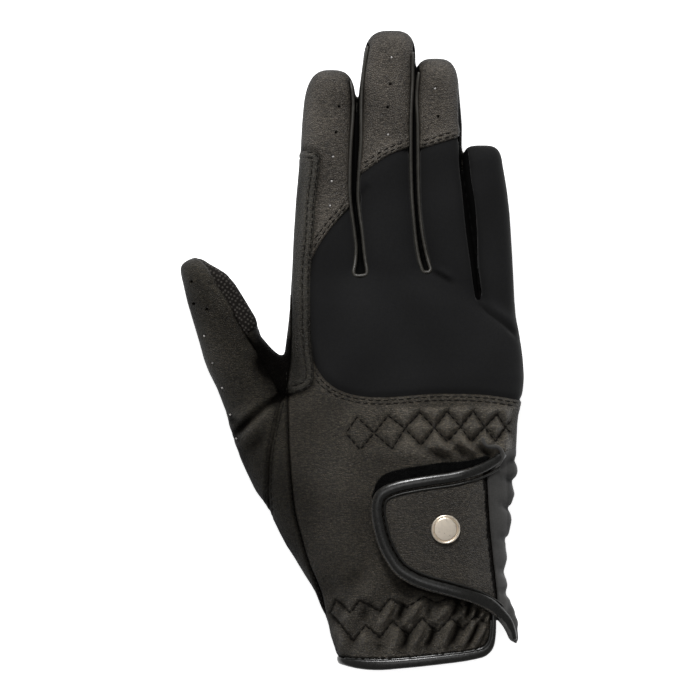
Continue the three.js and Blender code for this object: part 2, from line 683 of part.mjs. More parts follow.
// Leather and fabric panels
add("palm", cut(bottom.subtract(thumbSide), thumbSeam), LEATHER_DARK);
const thumbLow = bottom.intersect(thumbSide).subtract(beyondGripEnd);
add("thumb_front", cut(thumbLow, thumbSeam, gripEnd), LEATHER_DARK);
const gripTop = gripSide.intersect(beyondGripEnd.add(prism(ribbon(gripEnd, -half, half))));
add("thumb_back", cut(thumbTop.subtract(gripTop), gripSeam, thumbSeam), LEATHER);
const aboveGrip = prism(everywhere, PARTING_HEIGHT - half).subtract(gripSide);
const gripCut = prism(ribbon(gripSeam, -half, half), PARTING_HEIGHT - half);
add("thumb_grip", cut(thumbWhole.subtract(aboveGrip).subtract(gripCut), gripEnd), GRIP);
add("index_strip", cut(handTop.intersect(stripSide), stripSeam), LEATHER);
add("index_back", cut(highBack.intersect(aboveIndex), indexSeam), LEATHER_WORN);
add("middle_tip", cut(highBack.intersect(aboveMiddle), middleSeam), LEATHER_WORN);
add("ring_tip", cut(highBack.intersect(aboveRing), ringSeam), LEATHER_WORN);
const tips = [aboveIndex, aboveMiddle, aboveRing];
const belowTips = tips.reduce((rest, tip) => rest.subtract(tip), highBack);
add("back_stretch", cut(belowTips, indexSeam, middleSeam, ringSeam), STRETCH);
add("side_gusset", cut(lowBack.intersect(gussetSide), gussetSeam), LEATHER_DARK);
const middleBack = lowBack.subtract(gussetSide).subtract(outsideSlit);
add("back_leather", cut(middleBack, gussetSeam, slitLine), LEATHER);
add("tab_root", cut(lowBack.intersect(outsideSlit), slitLine), STRETCH_GREY);

// Side walls between the fingers, and their piping
["side_wall_index", "side_wall_middle", "side_wall_ring"].forEach((name, i) => {
  add(name, trimmed.intersect(wallRegions[i]), STRETCH);
});
add("piping_index", piping(INDEX, MIDDLE), PIPING);
add("piping_middle", piping(MIDDLE, RING), PIPING);

// Cuff binding, and the closure: loop on the wrist, hook under the tab, the tab and its binding
const cuffLayer = skinSolid(CUFF_BINDING_STAND).subtract(inside).subtract(beyondCuff);
const underTab = prism(ribbon(tabEdge, -TAB_BINDING_STAND, TAB_BINDING_WIDTH));
add("cuff_binding", cuffLayer.intersect(bindingBand).subtract(underTab), PIPING);
add("loop_pile", layer(() => loopLow, () => loopLow + PILE_THICKNESS, loopEdge), PILE);
add("hook_pile", layer(() => hookLow, () => hookLow + PILE_THICKNESS, hookEdge), PILE);
const tabLayer = layer(tabLow, (x) => tabLow(x) + TAB_THICKNESS, tabInner);
add("wrist_tab", cut(tabLayer.subtract(outsideSlit), slitLine).subtract(snapHole), LEATHER_WORN);
const edgeTop = (x) => tabLow(x) + TAB_THICKNESS + TAB_BINDING_STAND;
add("tab_binding", layer(tabLow, edgeTop, ribbon(tabEdge, 0, TAB_BINDING_WIDTH)), PIPING);

// Snap
const snap = new THREE.Mesh(
  new THREE.LatheGeometry(snapProfile.map(([r, z]) => new THREE.Vector2(r, z)), SNAP_SIDES),
  METAL,
);
snap.name = "snap";
snap.position.copy(snapPlace);
snap.quaternion.copy(snapTurn);
glove.add(snap);

// The origin is under the middle of the glove, on the surface that it lies on.
const box = new THREE.Box3().setFromObject(glove);
glove.position.set(-(box.min.x + box.max.x) / 2, -(box.min.y + box.max.y) / 2, -box.min.z);

export default glove;
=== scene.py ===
from itertools import product

import bpy
import numpy as np
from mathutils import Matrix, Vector
from mathutils.bvhtree import BVHTree


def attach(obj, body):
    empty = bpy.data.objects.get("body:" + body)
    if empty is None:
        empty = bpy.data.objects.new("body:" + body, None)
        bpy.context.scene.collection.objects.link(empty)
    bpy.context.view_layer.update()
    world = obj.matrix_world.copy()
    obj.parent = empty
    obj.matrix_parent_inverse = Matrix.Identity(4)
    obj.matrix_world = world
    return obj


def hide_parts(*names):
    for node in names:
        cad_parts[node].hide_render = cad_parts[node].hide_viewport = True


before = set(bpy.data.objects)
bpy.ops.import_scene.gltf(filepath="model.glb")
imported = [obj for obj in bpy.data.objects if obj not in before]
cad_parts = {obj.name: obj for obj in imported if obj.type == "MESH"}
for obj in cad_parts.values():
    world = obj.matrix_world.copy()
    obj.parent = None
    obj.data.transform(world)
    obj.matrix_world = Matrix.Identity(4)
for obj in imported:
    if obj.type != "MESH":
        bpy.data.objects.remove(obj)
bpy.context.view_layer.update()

# Shapes are worked out in millimetres in the frame's own axes. Places in plan are given as pixels of the
# photo, which looks straight down: its side, the millimetres in a pixel, and the pixel over the origin.
MM = 0.001
PHOTO_SIDE = 700
PIXEL = 0.375
ORIGIN_PIXEL = (352.48, 349.47)

# Height of the seam between palm and back, half the space between them, a height above the whole glove,
# thickness of the panels, and grid steps of the two halves
PARTING = 7.2
PARTING_GAP = 0.1
HIGHEST = 27
WALL = 1.1
FINE_STEP = 0.65
COARSE_STEP = 1.1

# A section's corners above and below its middle: 2 is an ellipse, and more is squarer
CORNER_ABOVE = 2.35
CORNER_BELOW = 2.9

# In millimetres: how far a section reaches past its height, and how wide the forms run into each other and
# into the table. In pixels: how fast fingers and thumb end inside the hand.
SPARE = 0.15
FINGER_BLEND = 0.5
HAND_BLEND = 3.0
THUMB_BLEND = 2.5
TABLE_BLEND = 1.2
FINGER_FADE = 40
THUMB_FADE = 30

# Fingers. tip: the row of the fingertip; round: how many rows it takes to reach full width; corner: how
# square the tip is; low: the row where it ends inside the hand; thick: in millimetres.
# edges: pixel row, left edge, right edge. Neighbours touch halfway between them.
INDEX = dict(tip=69.3, round=36, corner=2.9, low=430, thick=15.5, edges=(
    (70, 308, 355.5), (100, 304, 355.8), (124, 302, 356), (148, 300.5, 355.8), (200, 295.6, 354.5),
    (240, 293.2, 359), (275, 291.6, 361), (306, 290.8, 363), (350, 288.8, 366), (400, 289.5, 366)))
MIDDLE = dict(tip=29.6, round=36, corner=3.0, low=330, thick=16, edges=(
    (30, 365, 416.8), (60, 363, 415.6), (90, 359, 414.8), (117, 356.5, 414.6), (190, 354.5, 415.5),
    (240, 359, 420), (275, 361, 427), (350, 366, 436)))
RING = dict(tip=58, round=32, corner=3.2, low=330, thick=15, edges=(
    (58, 414, 457), (90, 414.8, 459.4), (126, 414.6, 462.4), (165, 415, 461.5), (190, 415.5, 465.5),
    (240, 420, 473.5), (275, 427, 478), (350, 436, 484)))
LITTLE = dict(tip=144.6, round=24, corner=3.7, low=400, thick=13.5, edges=(
    (145, 462.5, 501), (165, 463, 503.3), (190, 465.5, 507.6), (214, 469.5, 510.2), (250, 474.5, 512.5),
    (300, 480.5, 515), (360, 486, 520)))
FINGERS = (INDEX, MIDDLE, RING, LITTLE)

# Thumb, along its own line. edges: pixels down that line, left edge and right edge from it.
THUMB = dict(origin=(200, 258), heading=21.8, tip=-2, round=34, corner=3.5, low=250, thick=17.5, edges=(
    (0, -26.5, 6), (7, -25.4, 7), (17, -25.9, 13.4), (24, -26.8, 18.2), (37, -28.8, 22.6), (51, -30, 25),
    (76, -32, 29), (87, -33, 27.8), (95, -33.8, 27.3), (109, -33.9, 32),
    (127, -33, 38.5), (153, -33.4, 46), (177, -36.2, 50), (202, -36.2, 52), (230, -31.5, 52),
    (257, -28.4, 50)))

# Hand: pixel row, left edge, right edge, height in millimetres
HAND = (
    (262, 318, 500, 14.5), (275, 314, 501, 16), (306, 306, 508.5, 19.2), (330, 298, 514.5, 21),
    (353, 291, 519, 22.4), (377, 286.5, 522, 23.6), (400, 279, 520.4, 24.3), (424, 264, 517.4, 24.8),
    (448, 253, 516, 24.8),
    (461, 253, 516.2, 24.5), (472, 254, 518, 24.2), (485, 257, 512.9, 23.8), (494, 260, 515, 23.5),
    (509, 267.5, 509.8, 22.9), (520, 273.5, 511.8, 22.4), (534, 280, 509, 21.8), (546, 286.3, 505, 21.3),
    (558, 294.6, 507.6, 20.8), (569, 301.6, 503.2, 20.4), (585, 311.2, 508, 19.7),
    (593, 315.5, 506.4, 19.4), (610, 322.4, 514, 18.7), (625, 328, 517.6, 18.1), (640, 333, 518, 17.5),
    (664, 340, 505, 16.5), (700, 350, 500, 15.5))
# Rows over which the hand rounds off above the forks, and where the forks are
HAND_CAP = 32
FORKS = ((300, 270), (430, 270), (455, 282), (485, 301), (515, 318))

# Seams, as photo pixels
THUMB_SEAM = ((290, 200), (290, 340), (288.5, 372), (285.5, 390), (281, 402), (275, 428), (270, 455),
              (268, 490), (269, 512), (262, 560))
STRIP_SEAM = ((285, 151), (302, 150.5), (314, 151), (319.5, 156), (319.3, 170), (315.7, 200), (313, 242),
              (310.5, 265), (310, 300), (311, 345), (314, 372), (312, 384), (304, 390.5), (290, 394),
              (274, 395))
INDEX_SEAM = ((299, 290), (309.5, 264), (318, 247), (330, 230), (343, 215), (356, 201), (366, 189))
MIDDLE_SEAM = ((350, 179.5), (363, 172.5), (376, 163.5), (390, 155), (407, 148.5), (424, 142))
RING_SEAM = ((408, 152), (420, 149), (436, 144.5), (452, 139.5), (472, 134))
BACK_SEAM = ((296, 330), (309, 347), (314, 362), (322, 376), (333, 386), (345, 392), (360, 395.5),
             (381, 397), (406, 395.5), (432, 393.5), (457, 393.5), (483, 394.5), (502, 397), (535, 403))
GUSSET_SEAM = ((286.5, 370), (287.2, 400), (288.5, 445), (293.3, 506), (299.5, 533), (308, 562), (316, 582),
               (322, 600), (330, 640), (342, 690))
GRIP_SEAM = ((190, 252), (198, 257.5), (204, 262.5), (210, 271), (219, 287), (230, 303.5), (240, 323),
             (247, 334.5), (256, 349))
GRIP_END = ((230, 345), (247, 334.5), (258.5, 326.5), (275, 315))
WEB_SEAM = ((236, 316), (247, 334.5), (259, 354), (270, 374), (281, 397), (286, 412))
SLIT = ((497, 700), (497, 617), (494, 570), (492.5, 520), (491, 480), (495, 458), (503, 451), (520, 446))
TAB_SEAM = ((484, 452), (485, 477), (487.6, 520), (491.5, 560), (496.5, 598), (500, 625))
HAIRPIN = ((494, 468), (499.5, 461), (502, 454.5), (500, 449.5), (495.5, 446.3), (489, 446), (484.5, 444),
           (481.5, 437))
INDEX_PIPE = ((350.5, 80), (353, 98), (352.5, 120), (351, 140), (349.8, 170), (349.8, 197), (354.3, 232),
              (355.9, 248), (355.2, 262))
INDEX_FORK = ((353.6, 272), (354.2, 275), (357.3, 275.9), (363.4, 275.6), (366.2, 274.6), (367, 271.6))
MIDDLE_PIPE = ((368, 46), (364, 70), (361.5, 98), (361.2, 140), (359.3, 170), (358.2, 196), (360, 215),
               (362.4, 232), (364, 248), (365.7, 262))
MIDDLE_PIPE_FAR = ((412.5, 52), (412.5, 80), (410.8, 117), (411.5, 190), (414.1, 225), (416.4, 246),
                   (419.2, 261))
MIDDLE_FORK = ((421.6, 268.6), (423, 271.6), (426.2, 272.3), (429.6, 271.6), (430.6, 269))
RING_PIPE = ((419, 72), (417, 95), (418, 125), (418.8, 190), (421.4, 225), (424.8, 246), (428.6, 262))
RING_EDGE = ((460, 88), (460.5, 130), (460.8, 165), (465.5, 214), (471, 262), (477.5, 299))
LITTLE_EDGE = ((467, 152), (470, 177), (474, 202), (475.5, 226), (477, 262), (480.5, 299))
CUFF_EDGE = ((290, 650), (325, 660.5), (340, 664.5), (358, 668.5), (378, 669.7), (403, 667.8), (439, 664),
             (471, 659.7), (486, 655.5), (493, 648), (495.8, 634), (496, 618))
CUFF_INNER = ((290, 640), (320, 651), (342, 657.5), (360, 659), (388, 659), (418, 656.7), (447, 653.5),
              (474, 650), (484, 646.5), (489, 639), (490.5, 628), (491, 612))
TAIL_EDGE = ((496, 618), (503.5, 626), (508.5, 634), (512, 641), (519, 644), (560, 640))
TAB_OUTLINE = ((500, 449.5), (494.5, 454.5), (485, 460), (474, 464.8), (461, 468.5), (448, 471.3),
               (430, 473.8), (411, 476.8), (395, 480.3), (383, 485), (375.5, 491), (371.8, 500),
               (371.2, 511), (373.2, 525), (378.5, 544), (386, 559), (395.2, 571.5), (408.4, 580.5),
               (423, 586.8), (448, 594), (471.5, 601.8), (486, 609.5), (496.4, 617.8), (503.5, 625.5),
               (508.5, 633.5), (512.5, 641))
# Corners beyond the glove that close the outlines of the glove, the hem's band, the tab and its root
GLOVE_PAST = ((700, 640), (700, 0), (0, 0), (0, 650))
BAND_PAST = ((560, 700), (250, 700), (250, 640))
TAB_PAST = ((520, 640), (520, 450))
ROOT_PAST = ((560, 600), (560, 440), (520, 446), (503, 451), (494, 462))
# Ends of the lines between the fingers' tips, and the ring finger's far side
GAP_TOP = (350, 20)
INDEX_GAP_END = (362, 320)
MIDDLE_GAP_END = (430, 320)
RING_SIDE = ((463, 20), (463, 170))
# The loop's upper and hidden edges
LOOP_LOW = ((489, 456), (470, 475), (440, 488), (395, 500), (380, 506))
LOOP_TOP = ((371.5, 496), (374.7, 486), (379, 478), (386, 472.5), (400, 468.5), (419, 465.2), (439, 462),
            (457, 461), (470, 459.5), (485, 455))

# Diamond stitching: the tops, middles and bottoms of its zigzags
DIAMOND_UP = ((346, 432.6), (357, 416.5), (374, 432.6), (388, 415), (404.5, 428), (419.5, 412),
              (434, 427.5), (446.7, 410.8), (460, 426.6), (472.6, 410.8), (484, 426.8), (496.5, 414),
              (505, 427), (512, 419))
DIAMOND_DOWN = ((346, 432.6), (360, 449), (374, 432.6), (392, 448), (404.5, 428), (420.6, 444.5),
                (434, 427.5), (447, 441), (460, 426.6), (470.7, 441.2), (484, 426.8), (495, 441),
                (505, 427), (512, 434))
# Where its puffs begin, are full, fade and end, how high they are and how much they gain where they grow,
# and how far the stitches draw them in, in millimetres
DIAMOND_COLUMNS = (338, 352, 500, 514)
DIAMOND_ROWS = (404, 412, 446, 462)
PUFF_GROWS = (372, 440)
PUFF_LOW = 0.35
PUFF_GAIN = 1.5
PUFF_EDGE = 1.9
DIAMOND_DRAW = 0.35
GATHER_DRAW_WIDTH = 0.45

# Shirring at the cuff: two zigzags
SHIRR_HIGH = ((330, 613), (336, 599), (350.6, 612), (359.4, 599.6), (380, 610.6), (389.8, 597.4),
              (406.4, 607), (423.2, 595.2), (435.7, 602), (451, 596), (462, 606), (474, 600))
SHIRR_LOW = ((330, 613), (341.8, 625.3), (353, 641), (365.3, 624.5), (380, 637), (392.4, 620),
             (407.8, 634.8), (421.8, 617.2), (436.4, 631.9), (450.4, 616.5), (462.8, 629), (474.6, 614.3),
             (486.3, 623))

# Folds between the zigzags, in pixels: where they begin and end, a crest and the wavelength of the upper,
# finer and lower ones, and how far they lean for each row. In millimetres: how high they and the puffs are,
# and how far the stitches draw them in.
CUFF_ROWS = (588, 602, 655, 662)
CUFF_COLUMNS = (318, 340)
FOLDS_GROW = (330, 480)
LOWER_STARTS = (618, 630)
UPPER_LEAN = 0.45
UPPER_CREST = 628.5
UPPER_WAVE = 30.5
FINE_CREST = 621.1
FINE_WAVE = 13.5
LOWER_LEAN = 0.2
LOWER_CREST = 489.3
LOWER_WAVE = 27.7
FOLD_HEIGHT = 0.3
SHIRR_HEIGHT = 0.3
SHIRR_EDGE = 1.5
SHIRR_DRAW = 0.45

# Snap: its middle, and its radius and height in millimetres along its profile
SNAP_PLACE = (444.7, 527.7)
SNAP_PROFILE = ((0.0, 0.85), (3.9, 0.80), (4.36, 0.78), (4.48, 0.3), (4.6, 0.3), (4.72, 0.86), (4.95, 1.02),
                (5.25, 0.96), (5.42, 0.72), (5.45, 0.4), (5.3, 0.0), (4.9, -0.4), (2.0, -1.2), (0.0, -1.2))
SNAP_SIDES = 96

# Vent holes
HOLES = ((339.4, 107), (336, 133), (333, 157), (331.7, 181.5), (330, 206), (391.5, 58), (390, 85),
         (387.5, 108), (388, 135), (435, 89), (438, 117), (191.6, 282), (193.5, 304), (207, 309.5),
         (204.4, 336), (212.7, 363), (222.3, 388), (230.2, 414.7), (236.4, 438.5))
# Holes where a pale disc stands for painted light showing through
HOLES_WITH_LIGHT = ((333, 157), (331.7, 181.5), (330, 206), (391.5, 58), (388, 135), (435, 89), (204.4, 336),
              (212.7, 363), (222.3, 388), (230.2, 414.7), (236.4, 438.5))
HOLE_RADIUS = 0.5
HOLE_DEPTH = 1.0
# Radius of those pale discs of painted light
HOLE_LIGHT_RADIUS = 0.4

# Creases: their line in photo pixels, depth and half-width in millimetres. A negative depth is a ridge.
CREASES = (
    (((431, 271), (441, 276), (453, 283)), 1.1, 0.8),
    (((434, 268), (445, 273), (456, 280)), -0.35, 1.3),
    (((481, 303), (490, 312), (503, 322), (520, 338)), 1.0, 1.3),
    (((486, 300), (496, 309), (508, 318), (520, 328)), -0.5, 2.2),
    (((419, 445), (431, 452), (449, 458)), 1.4, 1.5),
    (((447.5, 441.5), (456, 448), (468, 458)), 2.4, 1.5),
    (((470.7, 441.5), (480, 449), (493, 456)), 2.6, 1.5),
    (((485, 443), (491, 445), (497, 448)), 1.8, 1.2),
    (((432.3, 433), (439, 442), (455, 452)), -1.5, 1.7),
    (((457.3, 434), (465, 443), (478, 454)), -1.6, 1.6),
    (((481.4, 436.6), (487, 442), (499, 446)), -1.3, 1.3),
    (((233, 436), (246, 423), (263, 408), (281, 396), (294, 387)), 1.3, 1.5),
    (((240, 440), (256, 424), (277, 405)), -1.0, 1.9),
    (((232, 420), (246, 412), (262, 400)), -0.6, 2.2),
    (((226, 414), (234, 420), (244, 424)), 0.6, 1.5),
    (((242, 455), (258, 440), (270, 426)), 0.6, 2.4),
    (((254, 345), (264, 362), (276, 384)), 1.6, 3.4),
    (((520, 482), (509, 480), (502, 477)), 0.9, 1.2),
    (((518, 510), (506, 507), (500, 503)), 0.9, 1.2),
    (((516, 541), (504, 539), (499, 536)), 0.9, 1.2),
    (((514, 576), (504, 573), (500, 570)), 0.9, 1.2),
    (((518, 598), (508, 595), (503, 592)), 0.8, 1.1),
    (((522, 460), (510, 461), (503, 463)), 0.9, 1.3),
    (((370, 560), (352, 580), (340, 592)), 0.5, 3.0),
    (((385, 575), (368, 588), (350, 594)), -0.5, 3.0),
    (((394, 598), (387, 614), (379, 628)), -1.6, 1.5),
    (((421, 596), (415, 610), (408, 623)), -1.8, 1.4),
    (((449.5, 598), (444, 611), (438.5, 620)), -1.8, 1.3),
    (((465.5, 602), (462.5, 615)), -1.6, 0.8),
    (((474.5, 605), (470.5, 619)), -1.6, 0.8),
    (((483.5, 608), (478.5, 621)), -1.4, 0.8),
    (((488.5, 612), (485.5, 622)), -1.2, 0.7),
    (((352, 603), (349, 614), (344, 624)), -0.9, 1.7),
    (((364, 627), (365, 639), (363, 651)), -1.3, 1.7),
    (((394, 623), (397, 636), (393, 650)), -1.7, 1.7),
    (((424, 619), (419, 634), (410, 650)), -1.8, 1.5),
    (((451, 619), (446, 634), (438.5, 648)), -1.8, 1.4),
    (((474, 618), (467, 634), (458, 648)), -1.8, 1.3),
    (((486, 623), (480, 634), (474, 645)), -1.6, 0.9),
    (((340, 622), (344, 636), (345, 648)), -0.8, 1.7),
    (((380, 640), (379, 652)), 1.1, 1.2),
    (((406, 628), (406, 640), (401, 651)), 1.2, 1.1),
    (((434, 625), (431, 638), (424, 649)), 1.2, 1.1),
    (((460, 622), (455, 636), (449, 647)), 1.2, 1.0),
    (((479, 622), (473, 635), (467, 645)), 1.2, 0.8),
    (((404, 602), (400, 614), (396, 622)), 1.2, 1.1),
    (((432, 602), (428, 614), (424, 622)), 1.2, 1.1),
    (((457.5, 600), (454, 612), (451, 618)), 1.2, 0.9),
    (((470, 604), (466, 618)), 1.1, 0.7),
    (((479, 606), (474.5, 620)), 1.1, 0.7),
    (((366, 602), (363, 614), (359, 622)), 0.8, 1.5),
    (((400, 578), (424, 588), (452, 596), (480, 604)), 0.9, 1.6),
)

# Floor, lights and camera, in metres and watts: each light's name, place, side and power
FLOOR_SIDE = 8
FLOOR_DROP = 0.0002
FLOOR_GLOW = 0.8
SKY_GLOW = 0.24
LIGHTS = (("key", (-0.15, 1.0, 0.85), 0.3, 19), ("above", (0.0, 0.1, 2.4), 1.1, 7.5))
FILM_WIDTH = 36
CAMERA_HEIGHT = 1.8
LOOK_HEIGHT = 0.012

# Where meshes are made finer: millimetres from a seam and from a hole, and the cuff's rows and first column
# in the photo
DETAIL_REACH = 1.7
HOLE_REACHES = (1.6, 1.1)
CUFF_TOP = 592
CUFF_END = 662
CUFF_LEFT = 322

# Limits of the shading that a material reads: below zero is lighter, and above it darker
LIGHTEST = -0.7
DARKEST = 0.92
DARKEST_FOLD = 0.85
# Shading for each millimetre that a fold is deep, and on the steep sides
FOLD_SHADE = 0.75
STEEP_SHADE = 0.7

# Sizes of seams, unevenness, binding, piping, thread, tab and pile, in millimetres
LAP_HEIGHT = 0.4
LAP_SLOPE = (2.0, 6.0)
LAP_EDGE_DEPTH = 0.75
LAP_EDGE_WIDTH = 0.45
UNDER_DEPTH = 0.5
UNDER_WIDTH = 1.6
STRIP_CLEARANCE = 0.3
LAP_DRAW = 0.3
THUMB_DRAW = 0.25
DRAW_WIDTH = 0.55
GUSSET_DRAW = 0.3
GUSSET_DRAW_WIDTH = 0.5
ROLL_DEPTH = 0.55
ROLL_WIDTH = 0.6
UNEVEN = 0.22
RELIEF_START = 2.5
BULGE = 0.95
BULGE_CORNER = 2.6
BULGE_DROP = 0.25
BAND_WALL = 1.6
LOW_BAND_WALL = 1.0
PIPING_RISE = 0.15
LAP_REACH = 8.0
STITCH_LENGTH = 2.1
STITCH_GAP = 0.75
THREAD_RADIUS = 0.18
PIPING_RADIUS = 0.72
TAB_LIFT = 4.4
TAB_THICKNESS = 1.4
TAB_RAMP = ((466, TAB_LIFT), (492, 1.9), (507, 0.0))
TAB_BINDING = 4.2
TAB_SEAM_DEPTH = 0.8
TAB_SEAM_WIDTH = 0.4
TAB_CROWN = 0.35
TAB_GROOVE = 0.5
LOOP_HEIGHT = 1.1
LOOP_WALL = 0.9
STRANDS_TRIED = 9000
STRANDS_KEPT = 3000
STRAND_RADIUS = 0.09
STRAND_LEAN = 0.45
STRAND_HEIGHTS = (0.6, 1.5)
BINDING_WIDTHS = ((0, 1.7), (0.06, 1.9), (0.2, 1.95), (0.35, 2.1), (0.75, 2.2), (0.88, 2.5), (0.95, 2.0),
                  (1, 1.1))


def at(pixels):
    """Places of photo pixels in plan."""
    return (np.asarray(pixels, float) - ORIGIN_PIXEL) * (PIXEL, -PIXEL)


def pixel_of(points):
    """The photo pixel over each point."""
    return points[:, :2] / (PIXEL, -PIXEL) + ORIGIN_PIXEL


def spaced(line, step):
    """A line's points again, evenly spaced."""
    reach = np.r_[0, np.cumsum(np.linalg.norm(np.diff(line, axis=0), axis=1))]
    where = np.linspace(0, reach[-1], max(2, int(round(reach[-1] / step)) + 1))
    return np.stack([np.interp(where, reach, line[:, i]) for i in range(line.shape[1])], 1)


def curve(pixels, step=1.0):
    """A smooth line through photo pixels, in plan."""
    p = at(pixels)
    q = np.vstack([2 * p[0] - p[1], p, 2 * p[-1] - p[-2]])
    pieces = []
    for a, b, c, d in zip(q, q[1:], q[2:], q[3:]):
        t1 = np.linalg.norm(b - a) ** 0.5
        t2 = t1 + np.linalg.norm(c - b) ** 0.5
        t3 = t2 + np.linalg.norm(d - c) ** 0.5
        t = np.linspace(t1, t2, 12, endpoint=False)[:, None]
        ab = (t1 - t) / t1 * a + t / t1 * b
        bc = (t2 - t) / (t2 - t1) * b + (t - t1) / (t2 - t1) * c
        cd = (t3 - t) / (t3 - t2) * c + (t - t2) / (t3 - t2) * d
        abc = (t2 - t) / t2 * ab + t / t2 * bc
        bcd = (t3 - t) / (t3 - t1) * bc + (t - t1) / (t3 - t1) * cd
        pieces.append((t2 - t) / (t2 - t1) * abc + (t - t1) / (t2 - t1) * bcd)
    return spaced(np.vstack([*pieces, p[-1:]]), step)


def beside(line, offset):
    """A line moved to its left."""
    along = np.gradient(line[:, :2], axis=0)
    along /= np.linalg.norm(along, axis=1)[:, None] + 1e-9
    return line[:, :2] + offset * np.stack([-along[:, 1], along[:, 0]], 1)


def side_of(points, line, reach=None):
    """Distance in plan from points to a line, above zero to the line's left. Past reach it is reach."""
    best = np.full(len(points), np.inf if reach is None else reach**2)
    sign = np.ones(len(points))
    use = np.arange(len(points))
    if reach is not None:
        near = (points[:, :2] > line.min(0)[:2] - reach) & (points[:, :2] < line.max(0)[:2] + reach)
        use = use[near.all(1)]
    x, y = points[use, 0], points[use, 1]
    least, left, squarest = best[use], sign[use], np.zeros(len(use))
    for (ax, ay), (bx, by) in zip(line[:-1, :2], line[1:, :2]):
        dx, dy = bx - ax, by - ay
        t = np.clip(((x - ax) * dx + (y - ay) * dy) / (dx * dx + dy * dy), 0, 1)
        gap = (x - ax - t * dx) ** 2 + (y - ay - t * dy) ** 2
        turn = (dx * (y - ay) - dy * (x - ax)) / np.hypot(dx, dy)
        # At a corner two pieces are equally near, and the one seen more squarely tells the side
        closer = (gap < least - 1e-9) | ((gap < least + 1e-9) & (np.abs(turn) > squarest))
        least = np.where(closer, gap, least)
        squarest = np.where(closer, np.abs(turn), squarest)
        left = np.where(closer, np.where(turn >= 0, 1.0, -1.0), left)
    best[use], sign[use] = least, left
    return sign * np.sqrt(best)


def inside_of(points, outline):
    """Distance in plan to a closed outline, above zero inside it."""
    ring = np.vstack([outline, outline[:1]])
    gap = np.abs(side_of(points, ring))
    x, y = points[:, 0], points[:, 1]
    crossed = np.zeros(len(points), bool)
    for (ax, ay), (bx, by) in zip(ring[:-1], ring[1:]):
        spans = (ay > y) != (by > y)
        with np.errstate(divide="ignore", invalid="ignore"):
            crossed ^= spans & (x < ax + (y - ay) * (bx - ax) / (by - ay))
    return np.where(crossed, gap, -gap)


def ease(value, low, high):
    """0 below low and 1 above high, smoothly between."""
    t = np.clip((value - low) / (high - low), 0, 1)
    return t * t * (3 - 2 * t)


def bump(distance, width):
    """A smooth hump of height 1 at distance 0."""
    return np.exp(-((distance / width) ** 2))


class Skin:
    """Triangles with a direction, out of the glove, at each point."""

    def __init__(self, points, triangles, out=None):
        self.points = points
        self.triangles = triangles
        self.out = normals(points, triangles) if out is None else out

    def moved(self, amount):
        """This skin with each point moved along its direction."""
        return Skin(self.points + self.out * np.reshape(amount, (-1, 1)), self.triangles, self.out)


def normals(points, triangles):
    a, b, c = (points[triangles[:, i]] for i in range(3))
    face = np.cross(b - a, c - a)
    total = np.zeros_like(points)
    for i in range(3):
        for axis in range(3):
            total[:, axis] += np.bincount(triangles[:, i], face[:, axis], len(points))
    return total / (np.linalg.norm(total, axis=1)[:, None] + 1e-12)


def used(skin):
    """A skin without the points that no triangle uses."""
    keep, renumbered = np.unique(skin.triangles, return_inverse=True)
    return Skin(skin.points[keep], renumbered.reshape(-1, 3), skin.out[keep])


def smoothed(points, triangles, rounds):
    """Points drawn halfway to their neighbours' middle."""
    edges = np.vstack([triangles[:, [0, 1]], triangles[:, [1, 2]], triangles[:, [2, 0]]])
    edges = np.unique(np.sort(edges, axis=1), axis=0)
    ends = np.r_[edges[:, 0], edges[:, 1]]
    others = np.r_[edges[:, 1], edges[:, 0]]
    count = np.maximum(np.bincount(ends, minlength=len(points)), 1)[:, None]
    for _ in range(rounds):
        total = np.stack([np.bincount(ends, points[others, i], len(points)) for i in range(3)], 1)
        points = 0.5 * points + 0.5 * total / count
    return points


def kept(skin, side):
    """The part of a skin where side isn't negative, cut cleanly where it is zero."""
    side = np.where(np.abs(side) < 0.02, 0.0, side)
    up = side[skin.triangles] >= 0
    whole = skin.triangles[up.all(1)]
    mixed = up.any(1) & ~up.all(1)
    triangles, up = skin.triangles[mixed], up[mixed]
    if not len(triangles):
        return used(Skin(skin.points, whole, skin.out))
    single = up.sum(1) == 1
    odd = np.where(single, up.argmax(1), (~up).argmax(1))
    row = np.arange(len(triangles))
    a, b, c = (triangles[row, (odd + i) % 3] for i in range(3))
    pairs = np.vstack([np.stack([a, b], 1), np.stack([a, c], 1)])
    unique, number = np.unique(np.sort(pairs, axis=1), axis=0, return_inverse=True)
    low, high = side[unique[:, 0]], side[unique[:, 1]]
    t = (low / np.where(low == high, 1, low - high))[:, None]
    points = np.vstack([skin.points, skin.points[unique[:, 0]] * (1 - t) + skin.points[unique[:, 1]] * t])
    out = np.vstack([skin.out, skin.out[unique[:, 0]] * (1 - t) + skin.out[unique[:, 1]] * t])
    number = number.reshape(-1) + len(skin.points)
    ab, ac = number[: len(a)], number[len(a):]
    ab = np.where(side[b] == 0, b, np.where(side[a] == 0, a, ab))
    ac = np.where(side[c] == 0, c, np.where(side[a] == 0, a, ac))
    made = np.vstack([
        whole,
        np.stack([a, ab, ac], 1)[single],
        np.stack([ab, b, c], 1)[~single],
        np.stack([ab, c, ac], 1)[~single],
    ])
    real = (made[:, 0] != made[:, 1]) & (made[:, 1] != made[:, 2]) & (made[:, 2] != made[:, 0])
    return used(Skin(points, made[real], out))


def parted(skin, side):
    """The part of a skin where side is above zero, and the part where it is below."""
    return kept(skin, side), kept(skin, -side)


